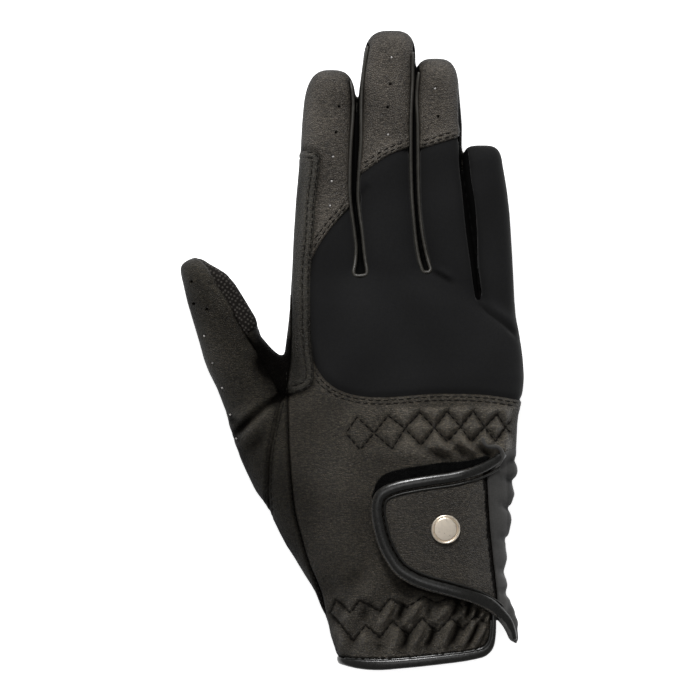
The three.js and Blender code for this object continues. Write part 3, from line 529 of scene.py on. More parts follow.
def joined(*skins):
    """Several skins as one, with the points that coincide made one."""
    points = np.vstack([s.points for s in skins])
    out = np.vstack([s.out for s in skins])
    starts = np.cumsum([0] + [len(s.points) for s in skins])
    triangles = np.vstack([s.triangles + start for s, start in zip(skins, starts)])
    _, first, number = np.unique(np.round(points, 4), axis=0, return_index=True, return_inverse=True)
    triangles = number.reshape(-1)[triangles]
    real = (triangles[:, 0] != triangles[:, 1]) & (triangles[:, 1] != triangles[:, 2])
    real &= triangles[:, 2] != triangles[:, 0]
    return Skin(points[first], triangles[real], out[first])


def refined(skin, near):
    """A skin with the edges halved whose two ends near marks."""
    marked = near[skin.triangles]
    count = marked.sum(1)
    plain = skin.triangles[count < 2]
    full = skin.triangles[count == 3]
    two = skin.triangles[count == 2]
    odd = (~marked[count == 2]).argmax(1)
    row = np.arange(len(two))
    c, a, b = (two[row, (odd + i) % 3] for i in range(3))
    pairs = np.vstack([full[:, [0, 1]], full[:, [1, 2]], full[:, [2, 0]], np.stack([a, b], 1)])
    unique, number = np.unique(np.sort(pairs, axis=1), axis=0, return_inverse=True)
    number = number.reshape(-1) + len(skin.points)
    points = np.vstack([skin.points, (skin.points[unique[:, 0]] + skin.points[unique[:, 1]]) / 2])
    out = np.vstack([skin.out, (skin.out[unique[:, 0]] + skin.out[unique[:, 1]]) / 2])
    n = len(full)
    ab, bc, ca, middle = number[:n], number[n:2 * n], number[2 * n:3 * n], number[3 * n:]
    x, y, z = full.T
    made = [plain, np.stack([x, ab, ca], 1), np.stack([ab, y, bc], 1), np.stack([ca, bc, z], 1),
            np.stack([ab, bc, ca], 1), np.stack([a, middle, c], 1), np.stack([middle, b, c], 1)]
    return Skin(points, np.vstack(made), out)


def thickened(skin, wall):
    """A skin as a closed wall: itself, a copy inside it, and a rim along its edges."""
    n = len(skin.points)
    inner = skin.points - skin.out * np.reshape(wall, (-1, 1))
    inner[:, 2] = np.maximum(inner[:, 2], 0.15)
    t = skin.triangles
    edges = np.vstack([t[:, [0, 1]], t[:, [1, 2]], t[:, [2, 0]]])
    key = np.sort(edges, axis=1)
    _, first, count = np.unique(key, axis=0, return_index=True, return_counts=True)
    a, b = edges[first[count == 1]].T
    rim = np.vstack([np.stack([b, a, a + n], 1), np.stack([b, a + n, b + n], 1)])
    return np.vstack([skin.points, inner]), np.vstack([t, t[:, ::-1] + n, rim])


def together(meshes):
    """Several (points, triangles) as one."""
    starts = np.cumsum([0] + [len(p) for p, _ in meshes])
    return np.vstack([p for p, _ in meshes]), np.vstack([t + s for (_, t), s in zip(meshes, starts)])


def contour(field, low, high, step):
    """The surface where a field is zero, as a skin, from a grid of cells."""
    axes = [np.arange(a, b + step, step) for a, b in zip(low, high)]
    values = field(*axes)
    cells_each = [s - 1 for s in values.shape]
    inside = values < 0
    count = np.zeros(cells_each, np.int8)
    for i, j, k in product((0, 1), repeat=3):
        count += inside[i:cells_each[0] + i, j:cells_each[1] + j, k:cells_each[2] + k]
    cells = np.argwhere((count > 0) & (count < 8))
    number = np.full(cells_each, -1, np.int64)
    number[tuple(cells.T)] = np.arange(len(cells))
    total, crossings = np.zeros((len(cells), 3)), np.zeros(len(cells))
    for axis in range(3):
        ahead = np.eye(3, dtype=int)[axis]
        for pair in product((0, 1), repeat=2):
            corner = np.insert(pair, axis, 0)
            here, there = values[tuple((cells + corner).T)], values[tuple((cells + corner + ahead).T)]
            crosses = (here < 0) != (there < 0)
            t = np.where(crosses, here / np.where(crosses, here - there, 1), 0)
            total += (corner + t[:, None] * ahead) * crosses[:, None]
            crossings += crosses
    points = np.array([a[0] for a in axes]) + step * (cells + total / crossings[:, None])
    quads = []
    for axis in range(3):
        u, w = np.eye(3, dtype=int)[(axis + 1) % 3], np.eye(3, dtype=int)[(axis + 2) % 3]
        here = np.take(inside, range(inside.shape[axis] - 1), axis)
        there = np.take(inside, range(1, inside.shape[axis]), axis)
        p = np.argwhere(here != there)
        fits = np.ones(len(p), bool)
        for other in ((axis + 1) % 3, (axis + 2) % 3):
            fits &= (p[:, other] > 0) & (p[:, other] < cells_each[other])
        p = p[fits]
        corners = np.stack([number[tuple((p - u - w).T)], number[tuple((p - w).T)],
                            number[tuple(p.T)], number[tuple((p - u).T)]], 1)
        outward = here[tuple(p.T)]
        quads.append(np.where(outward[:, None], corners, corners[:, ::-1]))
    quads = np.vstack(quads)
    triangles = np.vstack([quads[:, [0, 1, 2]], quads[:, [0, 2, 3]]])
    return Skin(smoothed(points, triangles, 2), triangles)


def soft_min(a, b, blend):
    """The nearer of two fields, with the corner between them filled over a length."""
    h = np.clip(0.5 + 0.5 * (b - a) / blend, 0, 1)
    return b * (1 - h) + a * h - blend * h * (1 - h)


def section(plan, low, high, z, thick):
    """A field round a section: plan is 1 at its edges, which are low and high in pixels."""
    tall = thick / 2 + SPARE
    v = (z - thick / 2) / tall
    above, under = ((plan[..., None] ** corner + np.abs(v) ** corner) ** (1 / corner)
                    for corner in (CORNER_ABOVE, CORNER_BELOW))
    return (np.where(v > 0, above, under) - 1) * np.minimum((high - low)[..., None] / 2 * PIXEL, tall)


def digit_field(digit, x, y, over, fade, z):
    """A finger or the thumb: over is 0 where its tip starts and 1 at its end, and fade is its low end's."""
    rows, left, right = np.array(digit["edges"], float).T
    low, high = np.interp(y, rows, left), np.interp(y, rows, right)
    side = np.abs(x - (low + high) / 2) / ((high - low) / 2)
    under = np.clip((y - digit["low"]) / fade + 1, 0, None)
    corner = digit["corner"]
    plan = (side**corner + np.clip(over, 0, None) ** corner + under**4) ** (1 / corner)
    return section(plan, low, high, z, digit["thick"])


def finger_field(finger, x, y, z):
    over = (finger["tip"] + finger["round"] - y) / finger["round"]
    return digit_field(finger, x, y, over, FINGER_FADE, z)


def thumb_field(x, y, z):
    turn = np.radians(THUMB["heading"])
    dx, dy = x - THUMB["origin"][0], y - THUMB["origin"][1]
    along = dx * np.sin(turn) + dy * np.cos(turn)
    across = dx * np.cos(turn) - dy * np.sin(turn)
    return digit_field(THUMB, across, along, 1 - (along - THUMB["tip"]) / THUMB["round"], THUMB_FADE, z)


def hand_field(x, y, z):
    rows, left, right, tall = np.array(HAND, float).T
    low, high = np.interp(y, rows, left), np.interp(y, rows, right)
    across = np.abs(x - (low + high) / 2) / ((high - low) / 2)
    over = np.clip((np.interp(x, *np.array(FORKS, float).T) + HAND_CAP - y) / HAND_CAP, 0, None)
    plan = np.where(over > 0, (across**4 + over**4) ** 0.25, across)
    return section(plan, low, high, z, np.interp(y, rows, tall)[..., None])


def glove_field(x, y, z):
    """Below zero inside the glove's outer form, over a grid."""
    px = (x / PIXEL + ORIGIN_PIXEL[0])[:, None] + np.zeros(len(y))
    py = (ORIGIN_PIXEL[1] - y / PIXEL)[None, :] + np.zeros((len(x), 1))
    z = z[None, None, :]
    made = finger_field(FINGERS[0], px, py, z)
    for finger in FINGERS[1:]:
        made = soft_min(made, finger_field(finger, px, py, z), FINGER_BLEND)
    made = soft_min(made, hand_field(px, py, z), HAND_BLEND)
    made = soft_min(made, thumb_field(px, py, z), THUMB_BLEND)
    return -soft_min(-made, z + 0 * made, TABLE_BLEND)


# Seam lines in plan
thumb_seam = curve(THUMB_SEAM)
strip_seam = curve(STRIP_SEAM)
index_seam = curve(INDEX_SEAM)
middle_seam = curve(MIDDLE_SEAM)
ring_seam = curve(RING_SEAM)
back_seam = curve(BACK_SEAM)
gusset_seam = curve(GUSSET_SEAM)
grip_seam = curve(GRIP_SEAM)
grip_end = curve(GRIP_END)
web_seam = curve(WEB_SEAM)
slit = curve(SLIT)
tab_seam = curve(TAB_SEAM)
cuff_edge = curve(CUFF_EDGE)
cuff_inner = curve(CUFF_INNER)
glove_outline = np.vstack([cuff_edge, curve(TAIL_EDGE)[1:], at(GLOVE_PAST)])
tab_outline = curve(TAB_OUTLINE)
# Outlines of the side walls between fingers, closed this many photo rows above them
WALL_PAST = 40
wall_outlines = []
for left_line, fork, right_line in ((INDEX_PIPE, INDEX_FORK, MIDDLE_PIPE),
                                    (MIDDLE_PIPE_FAR, MIDDLE_FORK, RING_PIPE),
                                    (RING_EDGE, (), LITTLE_EDGE)):
    top_left = (left_line[0][0], left_line[0][1] - WALL_PAST)
    top_right = (right_line[0][0], right_line[0][1] - WALL_PAST)
    wall_outlines.append(np.vstack([curve((*left_line, *fork, *right_line[::-1])),
                                    at((top_right, top_left))]))
hole_places = at(HOLES)
zigzags = [spaced(at(line), 0.8) for line in (DIAMOND_UP, DIAMOND_DOWN, SHIRR_HIGH, SHIRR_LOW)]

# Seams where one panel is lapped over the next, with rows of stitches beside its edge. side: which side
# of the seam's line the upper panel lies on, 1 for the left.
LAPS = ((strip_seam, -1), (index_seam, 1), (middle_seam, 1), (ring_seam, 1), (back_seam, -1))
LAP_ROWS = ((0.75, 2.85), (1.15, 2.5), (1.15, 2.5), (1.15, 2.5), (1.15, 2.5))
LAP_COLUMNS = ((290, 330), (300, 347.5), (361.5, 409.5), (419.5, 459), (300, 519))
THUMB_ROWS = (-1.1, 1.1)
THUMB_ROW_START = 400


def stitch_rows():
    """Lines that stitches follow, as (line, how deep they draw the surface in)."""
    rows = []
    for (line, side), offsets, (start, end) in zip(LAPS, LAP_ROWS, LAP_COLUMNS):
        for offset in offsets:
            row = beside(line, side * offset)
            column = pixel_of(row)[:, 0]
            row = row[(column > start) & (column < end)]
            if line is not strip_seam:
                row = row[side_of(row, strip_seam) > STRIP_CLEARANCE]
            rows.append((row, LAP_DRAW))
    for offset in THUMB_ROWS:
        row = beside(thumb_seam, offset)
        rows.append((row[pixel_of(row)[:, 1] > THUMB_ROW_START], THUMB_DRAW))
    return rows


def within(value, rising, full, falling, gone):
    """1 between full and falling, and 0 outside rising and gone."""
    return ease(value, rising, full) * (1 - ease(value, falling, gone))


def gathers(points):
    """Puffs between the diamond stitches and folds at the cuff, out of the surface."""
    px, py = pixel_of(points).T
    to_diamond = np.minimum(*[np.abs(side_of(points, z, 4.0)) for z in zigzags[:2]])
    to_shirr = np.minimum(*[np.abs(side_of(points, z, 4.0)) for z in zigzags[2:]])
    strength = ease(px, *PUFF_GROWS)
    puff = (PUFF_LOW + PUFF_GAIN * strength) * (1 - bump(to_diamond, PUFF_EDGE))
    puff -= DIAMOND_DRAW * bump(to_diamond, GATHER_DRAW_WIDTH)
    made = puff * within(px, *DIAMOND_COLUMNS) * within(py, *DIAMOND_ROWS)
    dense = ease(px, *FOLDS_GROW)
    lean = px + UPPER_LEAN * py
    wave = np.cos(2 * np.pi * (lean - UPPER_CREST) / (UPPER_WAVE - 6 * dense))
    finer = np.cos(2 * np.pi * (lean - FINE_CREST) / (FINE_WAVE - 2.5 * dense) + 1.3 * np.sin(py / 9.0))
    lower = np.cos(2 * np.pi * (px + LOWER_LEAN * py - LOWER_CREST) / LOWER_WAVE)
    below = ease(py, *LOWER_STARTS)
    fold = 0.62 * wave * (1 - below) + 0.55 * lower * below + 0.34 * finer
    cuff = FOLD_HEIGHT * fold * (0.6 + 0.4 * dense) + SHIRR_HEIGHT * (1 - bump(to_shirr, SHIRR_EDGE))
    cuff -= SHIRR_DRAW * bump(to_shirr, GATHER_DRAW_WIDTH)
    return made + cuff * within(py, *CUFF_ROWS) * ease(px, *CUFF_COLUMNS)


def relief(points):
    """How far the back's surface stands out of its plain form."""
    px, py = pixel_of(points).T
    made = np.zeros(len(points))
    for line, depth, width in CREASES:
        along = curve(line)
        gap = np.abs(side_of(points, along, 4 * width))
        ends = np.minimum(np.linalg.norm(points[:, :2] - along[0], axis=1),
                          np.linalg.norm(points[:, :2] - along[-1], axis=1))
        made -= depth * bump(gap, width) * ease(ends, -1.0, 3 * width)
    for line, depth in stitch_rows():
        made -= depth * bump(side_of(points, line, 2.5), DRAW_WIDTH)
    made -= GUSSET_DRAW * bump(side_of(points, gusset_seam, 2.5), GUSSET_DRAW_WIDTH)
    made += UNEVEN * np.sin(px / 17 + 1.7 * np.sin(py / 31)) * np.sin(py / 23 + 1.1 * np.sin(px / 27))
    made += gathers(points)
    for hole in hole_places:
        gap = np.linalg.norm(points[:, :2] - hole, axis=1)
        made -= HOLE_DEPTH * (1 - ease(gap, 0.75 * HOLE_RADIUS, 1.25 * HOLE_RADIUS))
    return made


def edge_roll(points, lines):
    """Draws a panel's edges in along its seams."""
    made = np.zeros(len(points))
    for line in lines:
        made = np.maximum(made, ROLL_DEPTH * bump(side_of(points, line, 4.0), ROLL_WIDTH))
    return -made


def lap_height(points, line, side):
    """The upper panel of a lapped seam stands up to its edge, and rolls over there."""
    away = side_of(points, line, LAP_REACH)
    gap = np.where(np.abs(away) < LAP_REACH, side * away, LAP_REACH)
    return LAP_HEIGHT * (1 - ease(gap, *LAP_SLOPE)) - LAP_EDGE_DEPTH * bump(gap, LAP_EDGE_WIDTH)


def under_lap(points, line):
    """The lower panel dips under the upper one's edge."""
    return -UNDER_DEPTH * bump(side_of(points, line, LAP_REACH), UNDER_WIDTH)


def tab_lift(points):
    """How high the tab's upper face stands over the back."""
    columns, lift = np.array(TAB_RAMP, float).T
    return np.interp(pixel_of(points)[:, 0], columns, lift)


# Materials


def material(name, build):
    made = bpy.data.materials.new(name)
    made.use_nodes = True
    tree = made.node_tree
    build(tree, tree.nodes["Principled BSDF"])
    return made


def node(tree, kind, inputs=None, **settings):
    made = tree.nodes.new(kind)
    for key, value in settings.items():
        setattr(made, key, value)
    for key, value in (inputs or {}).items():
        if isinstance(value, bpy.types.NodeSocket):
            tree.links.new(value, made.inputs[key])
        else:
            made.inputs[key].default_value = value
    return made


def placed(tree, **settings):
    """The object's own coordinates, in metres, stretched or turned."""
    place = node(tree, "ShaderNodeTexCoord").outputs["Object"]
    return node(tree, "ShaderNodeMapping", {"Vector": place, **settings}).outputs["Vector"]


def noise(tree, scale, detail=3.0, stretch=(1, 1, 1), rough=0.5):
    """Noise with scale in waves a metre."""
    return node(tree, "ShaderNodeTexNoise", {"Vector": placed(tree, Scale=stretch), "Scale": scale,
                                             "Detail": detail, "Roughness": rough}).outputs["Fac"]


def math(tree, operation, *values):
    """The result of one operation on numbers or sockets."""
    return node(tree, "ShaderNodeMath", dict(enumerate(values)), operation=operation).outputs[0]


def sums(tree, *terms):
    """The sum of (socket, weight) pairs."""
    total, *others = [math(tree, "MULTIPLY", socket, weight) for socket, weight in terms]
    for other in others:
        total = math(tree, "ADD", total, other)
    return total


def bumped(tree, shader, height, strength, distance):
    """Bumps on a surface from a height."""
    made = node(tree, "ShaderNodeBump", {"Height": height, "Strength": strength, "Distance": distance})
    tree.links.new(made.outputs["Normal"], shader.inputs["Normal"])


def ramp(tree, factor, *stops):
    made = node(tree, "ShaderNodeValToRGB", {"Fac": factor})
    elements = made.color_ramp.elements
    while len(elements) < len(stops):
        elements.new(0.5)
    for element, (position, color) in zip(elements, stops):
        element.position = position
        element.color = (*color, 1)
    return made.outputs["Color"]


def shade(color, by):
    return tuple(min(1.0, c * by) for c in color)


# Colour of the deepest painted shade
PAINTED_SHADE_COLOR = (0.0006, 0.0005, 0.0005)


def with_painted_shade(tree, colors):
    """Colours darkened by painted shade down in the folds, on steep sides and in painted shadows, and
    lightened by a painted highlight on the ridges.
    """
    painted_shade = node(tree, "ShaderNodeAttribute", attribute_name="painted_shade").outputs["Fac"]
    raised = math(tree, "ADD", math(tree, "MAXIMUM", math(tree, "MULTIPLY", painted_shade, -1.2), 0.0), 1.0)
    lit = node(tree, "ShaderNodeVectorMath", {0: colors, "Scale": raised}, operation="SCALE").outputs[0]
    made = node(tree, "ShaderNodeMix", {"Factor": painted_shade}, data_type="RGBA")
    tree.links.new(lit, made.inputs[6])
    made.inputs[7].default_value = (*PAINTED_SHADE_COLOR, 1)
    return made.outputs[2]


def gloss_fading_in_painted_shade(tree, shader, gloss):
    """A gloss that fades where painted shade lies: down in the folds, on steep sides and in painted
    shadows.
    """
    painted_shade = node(tree, "ShaderNodeAttribute", attribute_name="painted_shade").outputs["Fac"]
    tree.links.new(math(tree, "MULTIPLY_ADD", painted_shade, -gloss, gloss), shader.inputs["Specular IOR Level"])


def leather(name, color, roughness=0.5, grain=1.0, grain_highlight=2.3, gloss=0.32):
    """Pebbled leather: cells with fine creases between them, over a random tone that is lighter on the
    grain's raised spots as a painted highlight.
    """

    def build(tree, shader):
        coarse = node(tree, "ShaderNodeTexVoronoi", {"Vector": placed(tree, Scale=(1, 1.3, 1)),
                                                     "Scale": 1150 / grain}, feature="DISTANCE_TO_EDGE")
        fine = noise(tree, 2600 / grain, 4, (0.8, 1.2, 1))
        broad = noise(tree, 45, 3)
        mottle = noise(tree, 1250 / grain, 4, (0.55, 1.5, 1), 0.7)
        pebble = ramp(tree, coarse.outputs["Distance"], (0.0, (0, 0, 0)), (0.28, (1, 1, 1)))
        height = sums(tree, (pebble, 0.6), (fine, 0.5), (mottle, 0.9))
        tone = sums(tree, (mottle, 0.75), (broad, 0.15), (pebble, 0.1))
        # The mottle that raises the grain also lightens its colour: a painted highlight on the raised spots
        colors = ramp(tree, tone, (0.39, shade(color, 0.36)), (0.5, color), (0.63, shade(color, grain_highlight)))
        tree.links.new(with_painted_shade(tree, colors), shader.inputs["Base Color"])
        rough = math(tree, "ADD", sums(tree, (mottle, 0.3), (pebble, -0.08)), roughness - 0.12)
        tree.links.new(rough, shader.inputs["Roughness"])
        bumped(tree, shader, height, 0.75, 0.0005)
        gloss_fading_in_painted_shade(tree, shader, gloss)

    return material(name, build)


def stretch(name, color, sheen, gloss):
    """Fine stretch knit: small ribs along the hand crossed by courses."""

    def build(tree, shader):
        ribs = noise(tree, 900, 2, (3.2, 0.8, 1))
        courses = noise(tree, 900, 2, (0.8, 3.2, 1))
        broad = noise(tree, 30, 2)
        tone = sums(tree, (ribs, 0.35), (courses, 0.35), (broad, 0.3))
        colors = ramp(tree, tone, (0.35, shade(color, 0.8)), (0.65, shade(color, 1.22)))
        tree.links.new(with_painted_shade(tree, colors), shader.inputs["Base Color"])
        bumped(tree, shader, sums(tree, (ribs, 0.5), (courses, 0.5)), 0.35, 0.00012)
        shader.inputs["Roughness"].default_value = 0.88
        shader.inputs["Specular IOR Level"].default_value = gloss
        shader.inputs["Sheen Weight"].default_value = sheen
        shader.inputs["Sheen Roughness"].default_value = 0.5

    return material(name, build)


def glossy(name, color, roughness, gloss):
    """Smooth trim leather with faint long creases."""

    def build(tree, shader):
        fine = noise(tree, 700, 3)
        broad = noise(tree, 120, 2)
        tone = sums(tree, (fine, 0.6), (broad, 0.4))
        colors = ramp(tree, tone, (0.35, shade(color, 0.7)), (0.65, shade(color, 1.3)))
        tree.links.new(colors, shader.inputs["Base Color"])
        rough = math(tree, "ADD", sums(tree, (fine, 0.25)), roughness - 0.12)
        tree.links.new(rough, shader.inputs["Roughness"])
        bumped(tree, shader, fine, 0.3, 0.00015)
        shader.inputs["Specular IOR Level"].default_value = gloss

    return material(name, build)


def grip_look(name, color, dot_color):
    """Dark suede with small raised dots in rows."""

    def build(tree, shader):
        dots = node(tree, "ShaderNodeTexVoronoi", {"Vector": placed(tree, Rotation=(0, 0, 0.6)),
                                                   "Scale": 690, "Randomness": 0.35},
                    voronoi_dimensions="2D")
        fine = noise(tree, 1800, 3)
        spot = ramp(tree, dots.outputs["Distance"], (0.22, (1, 1, 1)), (0.34, (0, 0, 0)))
        colors = node(tree, "ShaderNodeMix", {"Factor": spot, "A": (*color, 1), "B": (*dot_color, 1)},
                      data_type="RGBA")
        tree.links.new(colors.outputs["Result"], shader.inputs["Base Color"])
        bumped(tree, shader, sums(tree, (spot, 1.0), (fine, 0.3)), 0.6, 0.0003)
        shader.inputs["Roughness"].default_value = 0.85
        shader.inputs["Specular IOR Level"].default_value = 0.05

    return material(name, build)


def metal(name, color):
    """Brushed nickel, with fine rings of wear."""

    def build(tree, shader):
        fine = noise(tree, 900, 3)
        colors = ramp(tree, fine, (0.3, shade(color, 0.96)), (0.7, shade(color, 1.03)))
        tree.links.new(colors, shader.inputs["Base Color"])
        tree.links.new(math(tree, "MULTIPLY_ADD", fine, 0.5, 0.12), shader.inputs["Roughness"])
        shader.inputs["Metallic"].default_value = 1.0

    return material(name, build)


def thread_look(name, color):
    """Dull twisted thread."""

    def build(tree, shader):
        twist = noise(tree, 3000, 2)
        colors = ramp(tree, twist, (0.35, shade(color, 0.6)), (0.65, shade(color, 1.5)))
        tree.links.new(colors, shader.inputs["Base Color"])
        shader.inputs["Roughness"].default_value = 0.9
        shader.inputs["Specular IOR Level"].default_value = 0.12

    return material(name, build)


BACK = leather("back_leather_look", (0.0252, 0.0211, 0.015), gloss=0.3)
# Thumb: the back leather's colour darkened as painted shade
THUMB_SHADED_LOOK = leather("thumb_leather_shaded_look", (0.0145, 0.0124, 0.0087), gloss=0.17)
# Gusset along the glove's side: leather darkened as painted shade
GUSSET_SHADED_LOOK = leather("gusset_leather_shaded_look", (0.0112, 0.0095, 0.0064), gloss=0.15)
TIP = leather("tip_leather_look", (0.046, 0.0395, 0.0315), grain_highlight=1.9)
TAB_LOOK = leather("tab_leather_look", (0.027, 0.023, 0.0175))
STRIP = leather("strip_leather_look", (0.0185, 0.0162, 0.0118), 0.52)
PALM = leather("palm_leather_look", (0.014, 0.012, 0.0085), 0.55, 1.2)
FABRIC = stretch("stretch_look", (0.0066, 0.0066, 0.0069), 0.04, 0.12)
# Side walls in the gaps between fingers: the stretch fabric's colour darkened as painted shade
WALLS_SHADED = stretch("wall_shaded_look", (0.0012, 0.0012, 0.0012), 0.0, 0.04)
# Web: the gusset's colour, darkened as painted shade in the same way
WEB_SHADED = leather("web_leather_shaded_look", (0.0112, 0.0095, 0.0064), gloss=0.15)
ROOT = stretch("root_look", (0.035, 0.0338, 0.032), 0.15, 0.2)
TRIM = glossy("trim_look", (0.005, 0.0048, 0.004), 0.28, 0.5)
RIDGE = glossy("ridge_look", (0.007, 0.0067, 0.0056), 0.42, 0.3)
PIPE = glossy("piping_look", (0.0225, 0.0206, 0.0168), 0.45, 0.4)
GRIP = grip_look("grip_look", (0.008, 0.007, 0.0062), (0.04, 0.037, 0.033))
NICKEL = metal("nickel_look", (0.88, 0.78, 0.65))
THREAD = thread_look("thread_look", (0.006, 0.0053, 0.0045))
# Loop pile: black, and darker still as painted shade in the gap beside the tab's binding
PILE_SHADED = thread_look("pile_shaded_look", (0.0016, 0.0016, 0.0016))
# Pale colour of the discs that stand for painted light through the vent holes
HOLE_LIGHT = thread_look("hole_light_look", (0.38, 0.36, 0.35))


def piece(name, points, triangles, look, slot, nodes=(), painted_shade=None):
    """A mesh from millimetres, that rides on the glove and stands for the CAD nodes named."""
    mesh = bpy.data.meshes.new(name)
    mesh.from_pydata((points * MM).tolist(), [], triangles.tolist())
    mesh.polygons.foreach_set("use_smooth", np.ones(len(triangles), bool))
    mesh.materials.append(look)
    # Painted shade for the materials to read, and a painted highlight where it is below zero
    if painted_shade is not None:
        mesh.attributes.new("painted_shade", "FLOAT", "POINT").data.foreach_set("value", painted_shade.astype(np.float32))
    mesh.update()
    made = bpy.data.objects.new(name, mesh)
    bpy.context.scene.collection.objects.link(made)
    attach(made, "root")
    if nodes:
        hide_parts(*nodes)
    return made


# The outer form: a fine upper half and a coarser lower one
low_x, high_x, low_y, high_y = -66, 66, -126, 122
top = contour(glove_field, (low_x, low_y, PARTING - 1.2), (high_x, high_y, HIGHEST), FINE_STEP)
top = kept(top, top.points[:, 2] - PARTING - PARTING_GAP)
top = kept(top, inside_of(top.points, glove_outline))
below = contour(glove_field, (low_x, low_y, -1.5), (high_x, high_y, PARTING + 2.5), COARSE_STEP)
below = kept(below, PARTING - PARTING_GAP - below.points[:, 2])
below = kept(below, inside_of(below.points, glove_outline))

# Cut the upper half into panels
wall_skins = []
rest = top
for outline in wall_outlines:
    wall, rest = parted(rest, inside_of(rest.points, outline))
    wall_skins.append(wall)
rest, thumb_skin = parted(rest, side_of(rest.points, thumb_seam))
rest, strip_skin = parted(rest, side_of(rest.points, strip_seam))
high_back, low_back = parted(rest, side_of(rest.points, back_seam))
low_back, gusset_skin = parted(low_back, side_of(low_back.points, gusset_seam))
leather_skin = kept(low_back, side_of(low_back.points, slit))

# Fingers above the forks, told apart by the middle of each gap
gap_lines = [curve((GAP_TOP, *[((a[0] + b[0]) / 2, (a[1] + b[1]) / 2) for a, b in zip(p, q)], end))
             for p, q, end in ((INDEX_PIPE, MIDDLE_PIPE, INDEX_GAP_END),
                               (MIDDLE_PIPE_FAR, RING_PIPE, MIDDLE_GAP_END))]


def finger_tip(skin, seam, low=None, high=None):
    """The part of a skin past a seam and between two lines, and the rest of it."""
    inner = side_of(skin.points, seam)
    if low is not None:
        inner = np.minimum(inner, side_of(skin.points, low))
    if high is not None:
        inner = np.minimum(inner, -side_of(skin.points, high))
    return parted(skin, inner)


index_skin, rest = finger_tip(high_back, index_seam, high=gap_lines[0])
middle_skin, rest = finger_tip(rest, middle_seam, low=gap_lines[0], high=gap_lines[1])
ring_skin, stretch_skin = finger_tip(rest, ring_seam, low=gap_lines[1], high=curve(RING_SIDE))

upper_thumb, lower_thumb = parted(thumb_skin, side_of(thumb_skin.points, grip_end))
grip_skin, upper_back = parted(upper_thumb, side_of(upper_thumb.points, grip_seam))
web_skin, lower_back = parted(lower_thumb, side_of(lower_thumb.points, web_seam))
thumb_back_skin = joined(upper_back, lower_back)

pipes = [curve(line) for line in (INDEX_PIPE, MIDDLE_PIPE, MIDDLE_PIPE_FAR, RING_PIPE)]
little_edges = [curve(RING_EDGE), curve(LITTLE_EDGE)]


def near_detail(points, reach):
    """Points near a stitch line, a seam or a fold."""
    marked = np.zeros(len(points), bool)
    lines = [line for line, _ in stitch_rows()] + zigzags + [line for line, _ in LAPS] + [gusset_seam]
    for line in lines:
        marked |= np.abs(side_of(points, line, reach)) < reach
    px, py = pixel_of(points).T
    return marked | ((py > CUFF_TOP) & (py < CUFF_END) & (px > CUFF_LEFT))


def near_hole(points, reach):
    marked = np.zeros(len(points), bool)
    for hole in hole_places:
        marked |= np.linalg.norm(points[:, :2] - hole, axis=1) < reach
    return marked


surfaces = []


def shaded(start, full, depth, seam=None, reach=0, seam_depth=0):
    """A panel's shading: darker from one photo row down to another, and within reach of a seam."""

    def shadow(points):
        made = depth * ease(pixel_of(points)[:, 1], start, full)
        if seam is not None:
            made += seam_depth * (1 - ease(np.abs(side_of(points, seam, reach)), 0, reach))
        return made

    return shadow


def panel(name, skin, look, slot, nodes, laps=(), unders=(), plain=(), shadow=None):
    """A panel of the back: its skin with its relief, made a wall."""
    skin = refined(skin, near_detail(skin.points, DETAIL_REACH))
    for reach in HOLE_REACHES:
        skin = refined(skin, near_hole(skin.points, reach))
    points = skin.points
    amount = relief(points) + edge_roll(points, plain)
    for line, side in laps:
        amount += lap_height(points, line, side)
    for line in unders:
        amount += under_lap(points, line)
    amount *= ease(points[:, 2], PARTING - 1, PARTING + RELIEF_START)
    made = skin.moved(amount)
    surfaces.append(made)
    # Painted shade in the folds and on steep sides, a painted highlight on ridges and raised edges, and the
    # panel's painted shadow
    steep = 1 - ease(skin.out[:, 2], 0.3, 1.0)
    painted_shade = np.clip(-FOLD_SHADE * amount, LIGHTEST, DARKEST_FOLD) + STEEP_SHADE * steep
    if shadow:
        painted_shade += shadow(points)
    painted_shade = np.clip(painted_shade, LIGHTEST, DARKEST)
    return piece(name, *thickened(made, WALL), look, slot, nodes, np.tile(painted_shade, 2))


strip_lap, index_lap, middle_lap, ring_lap, back_lap = LAPS
panel("index_strip", strip_skin, STRIP, "back_leather", ["index_strip"], laps=[strip_lap],
      plain=[thumb_seam], shadow=shaded(240, 330, 0.3))
panel("index_back", index_skin, TIP, "tip_leather", ["index_back"], laps=[index_lap], unders=[strip_seam],
      plain=pipes[:1])
panel("middle_tip", middle_skin, TIP, "tip_leather", ["middle_tip"], laps=[middle_lap], plain=pipes[1:3])
panel("ring_tip", ring_skin, TIP, "tip_leather", ["ring_tip"], laps=[ring_lap],
      plain=[pipes[3], little_edges[0]])
panel("back_stretch", stretch_skin, FABRIC, "stretch_fabric", ["back_stretch"],
      unders=[line for line, _ in LAPS], plain=[*pipes, *little_edges])
panel("side_gusset", gusset_skin, GUSSET_SHADED_LOOK, "palm_leather", ["side_gusset"],
      plain=[gusset_seam, thumb_seam], unders=[strip_seam], shadow=shaded(440, 520, 0.22))
panel("thumb_back", thumb_back_skin, THUMB_SHADED_LOOK, "back_leather", ["thumb_back"],
      laps=[(grip_seam, -1)], plain=[thumb_seam, web_seam], shadow=shaded(395, 460, 0.3, web_seam, 8, 0.45))
panel("thumb_web", web_skin, WEB_SHADED, "palm_leather", [], plain=[web_seam, grip_end],
      shadow=shaded(330, 350, 0.95))
panel("thumb_grip", grip_skin, GRIP, "grip", ["thumb_grip"], unders=[grip_seam], plain=[grip_end])
for i, skin in enumerate(wall_skins):
    label = ("side_wall_index", "side_wall_middle", "side_wall_ring")[i]
    panel(label, skin, WALLS_SHADED, "stretch_fabric", [label], plain=(pipes[:2], pipes[2:], little_edges)[i])

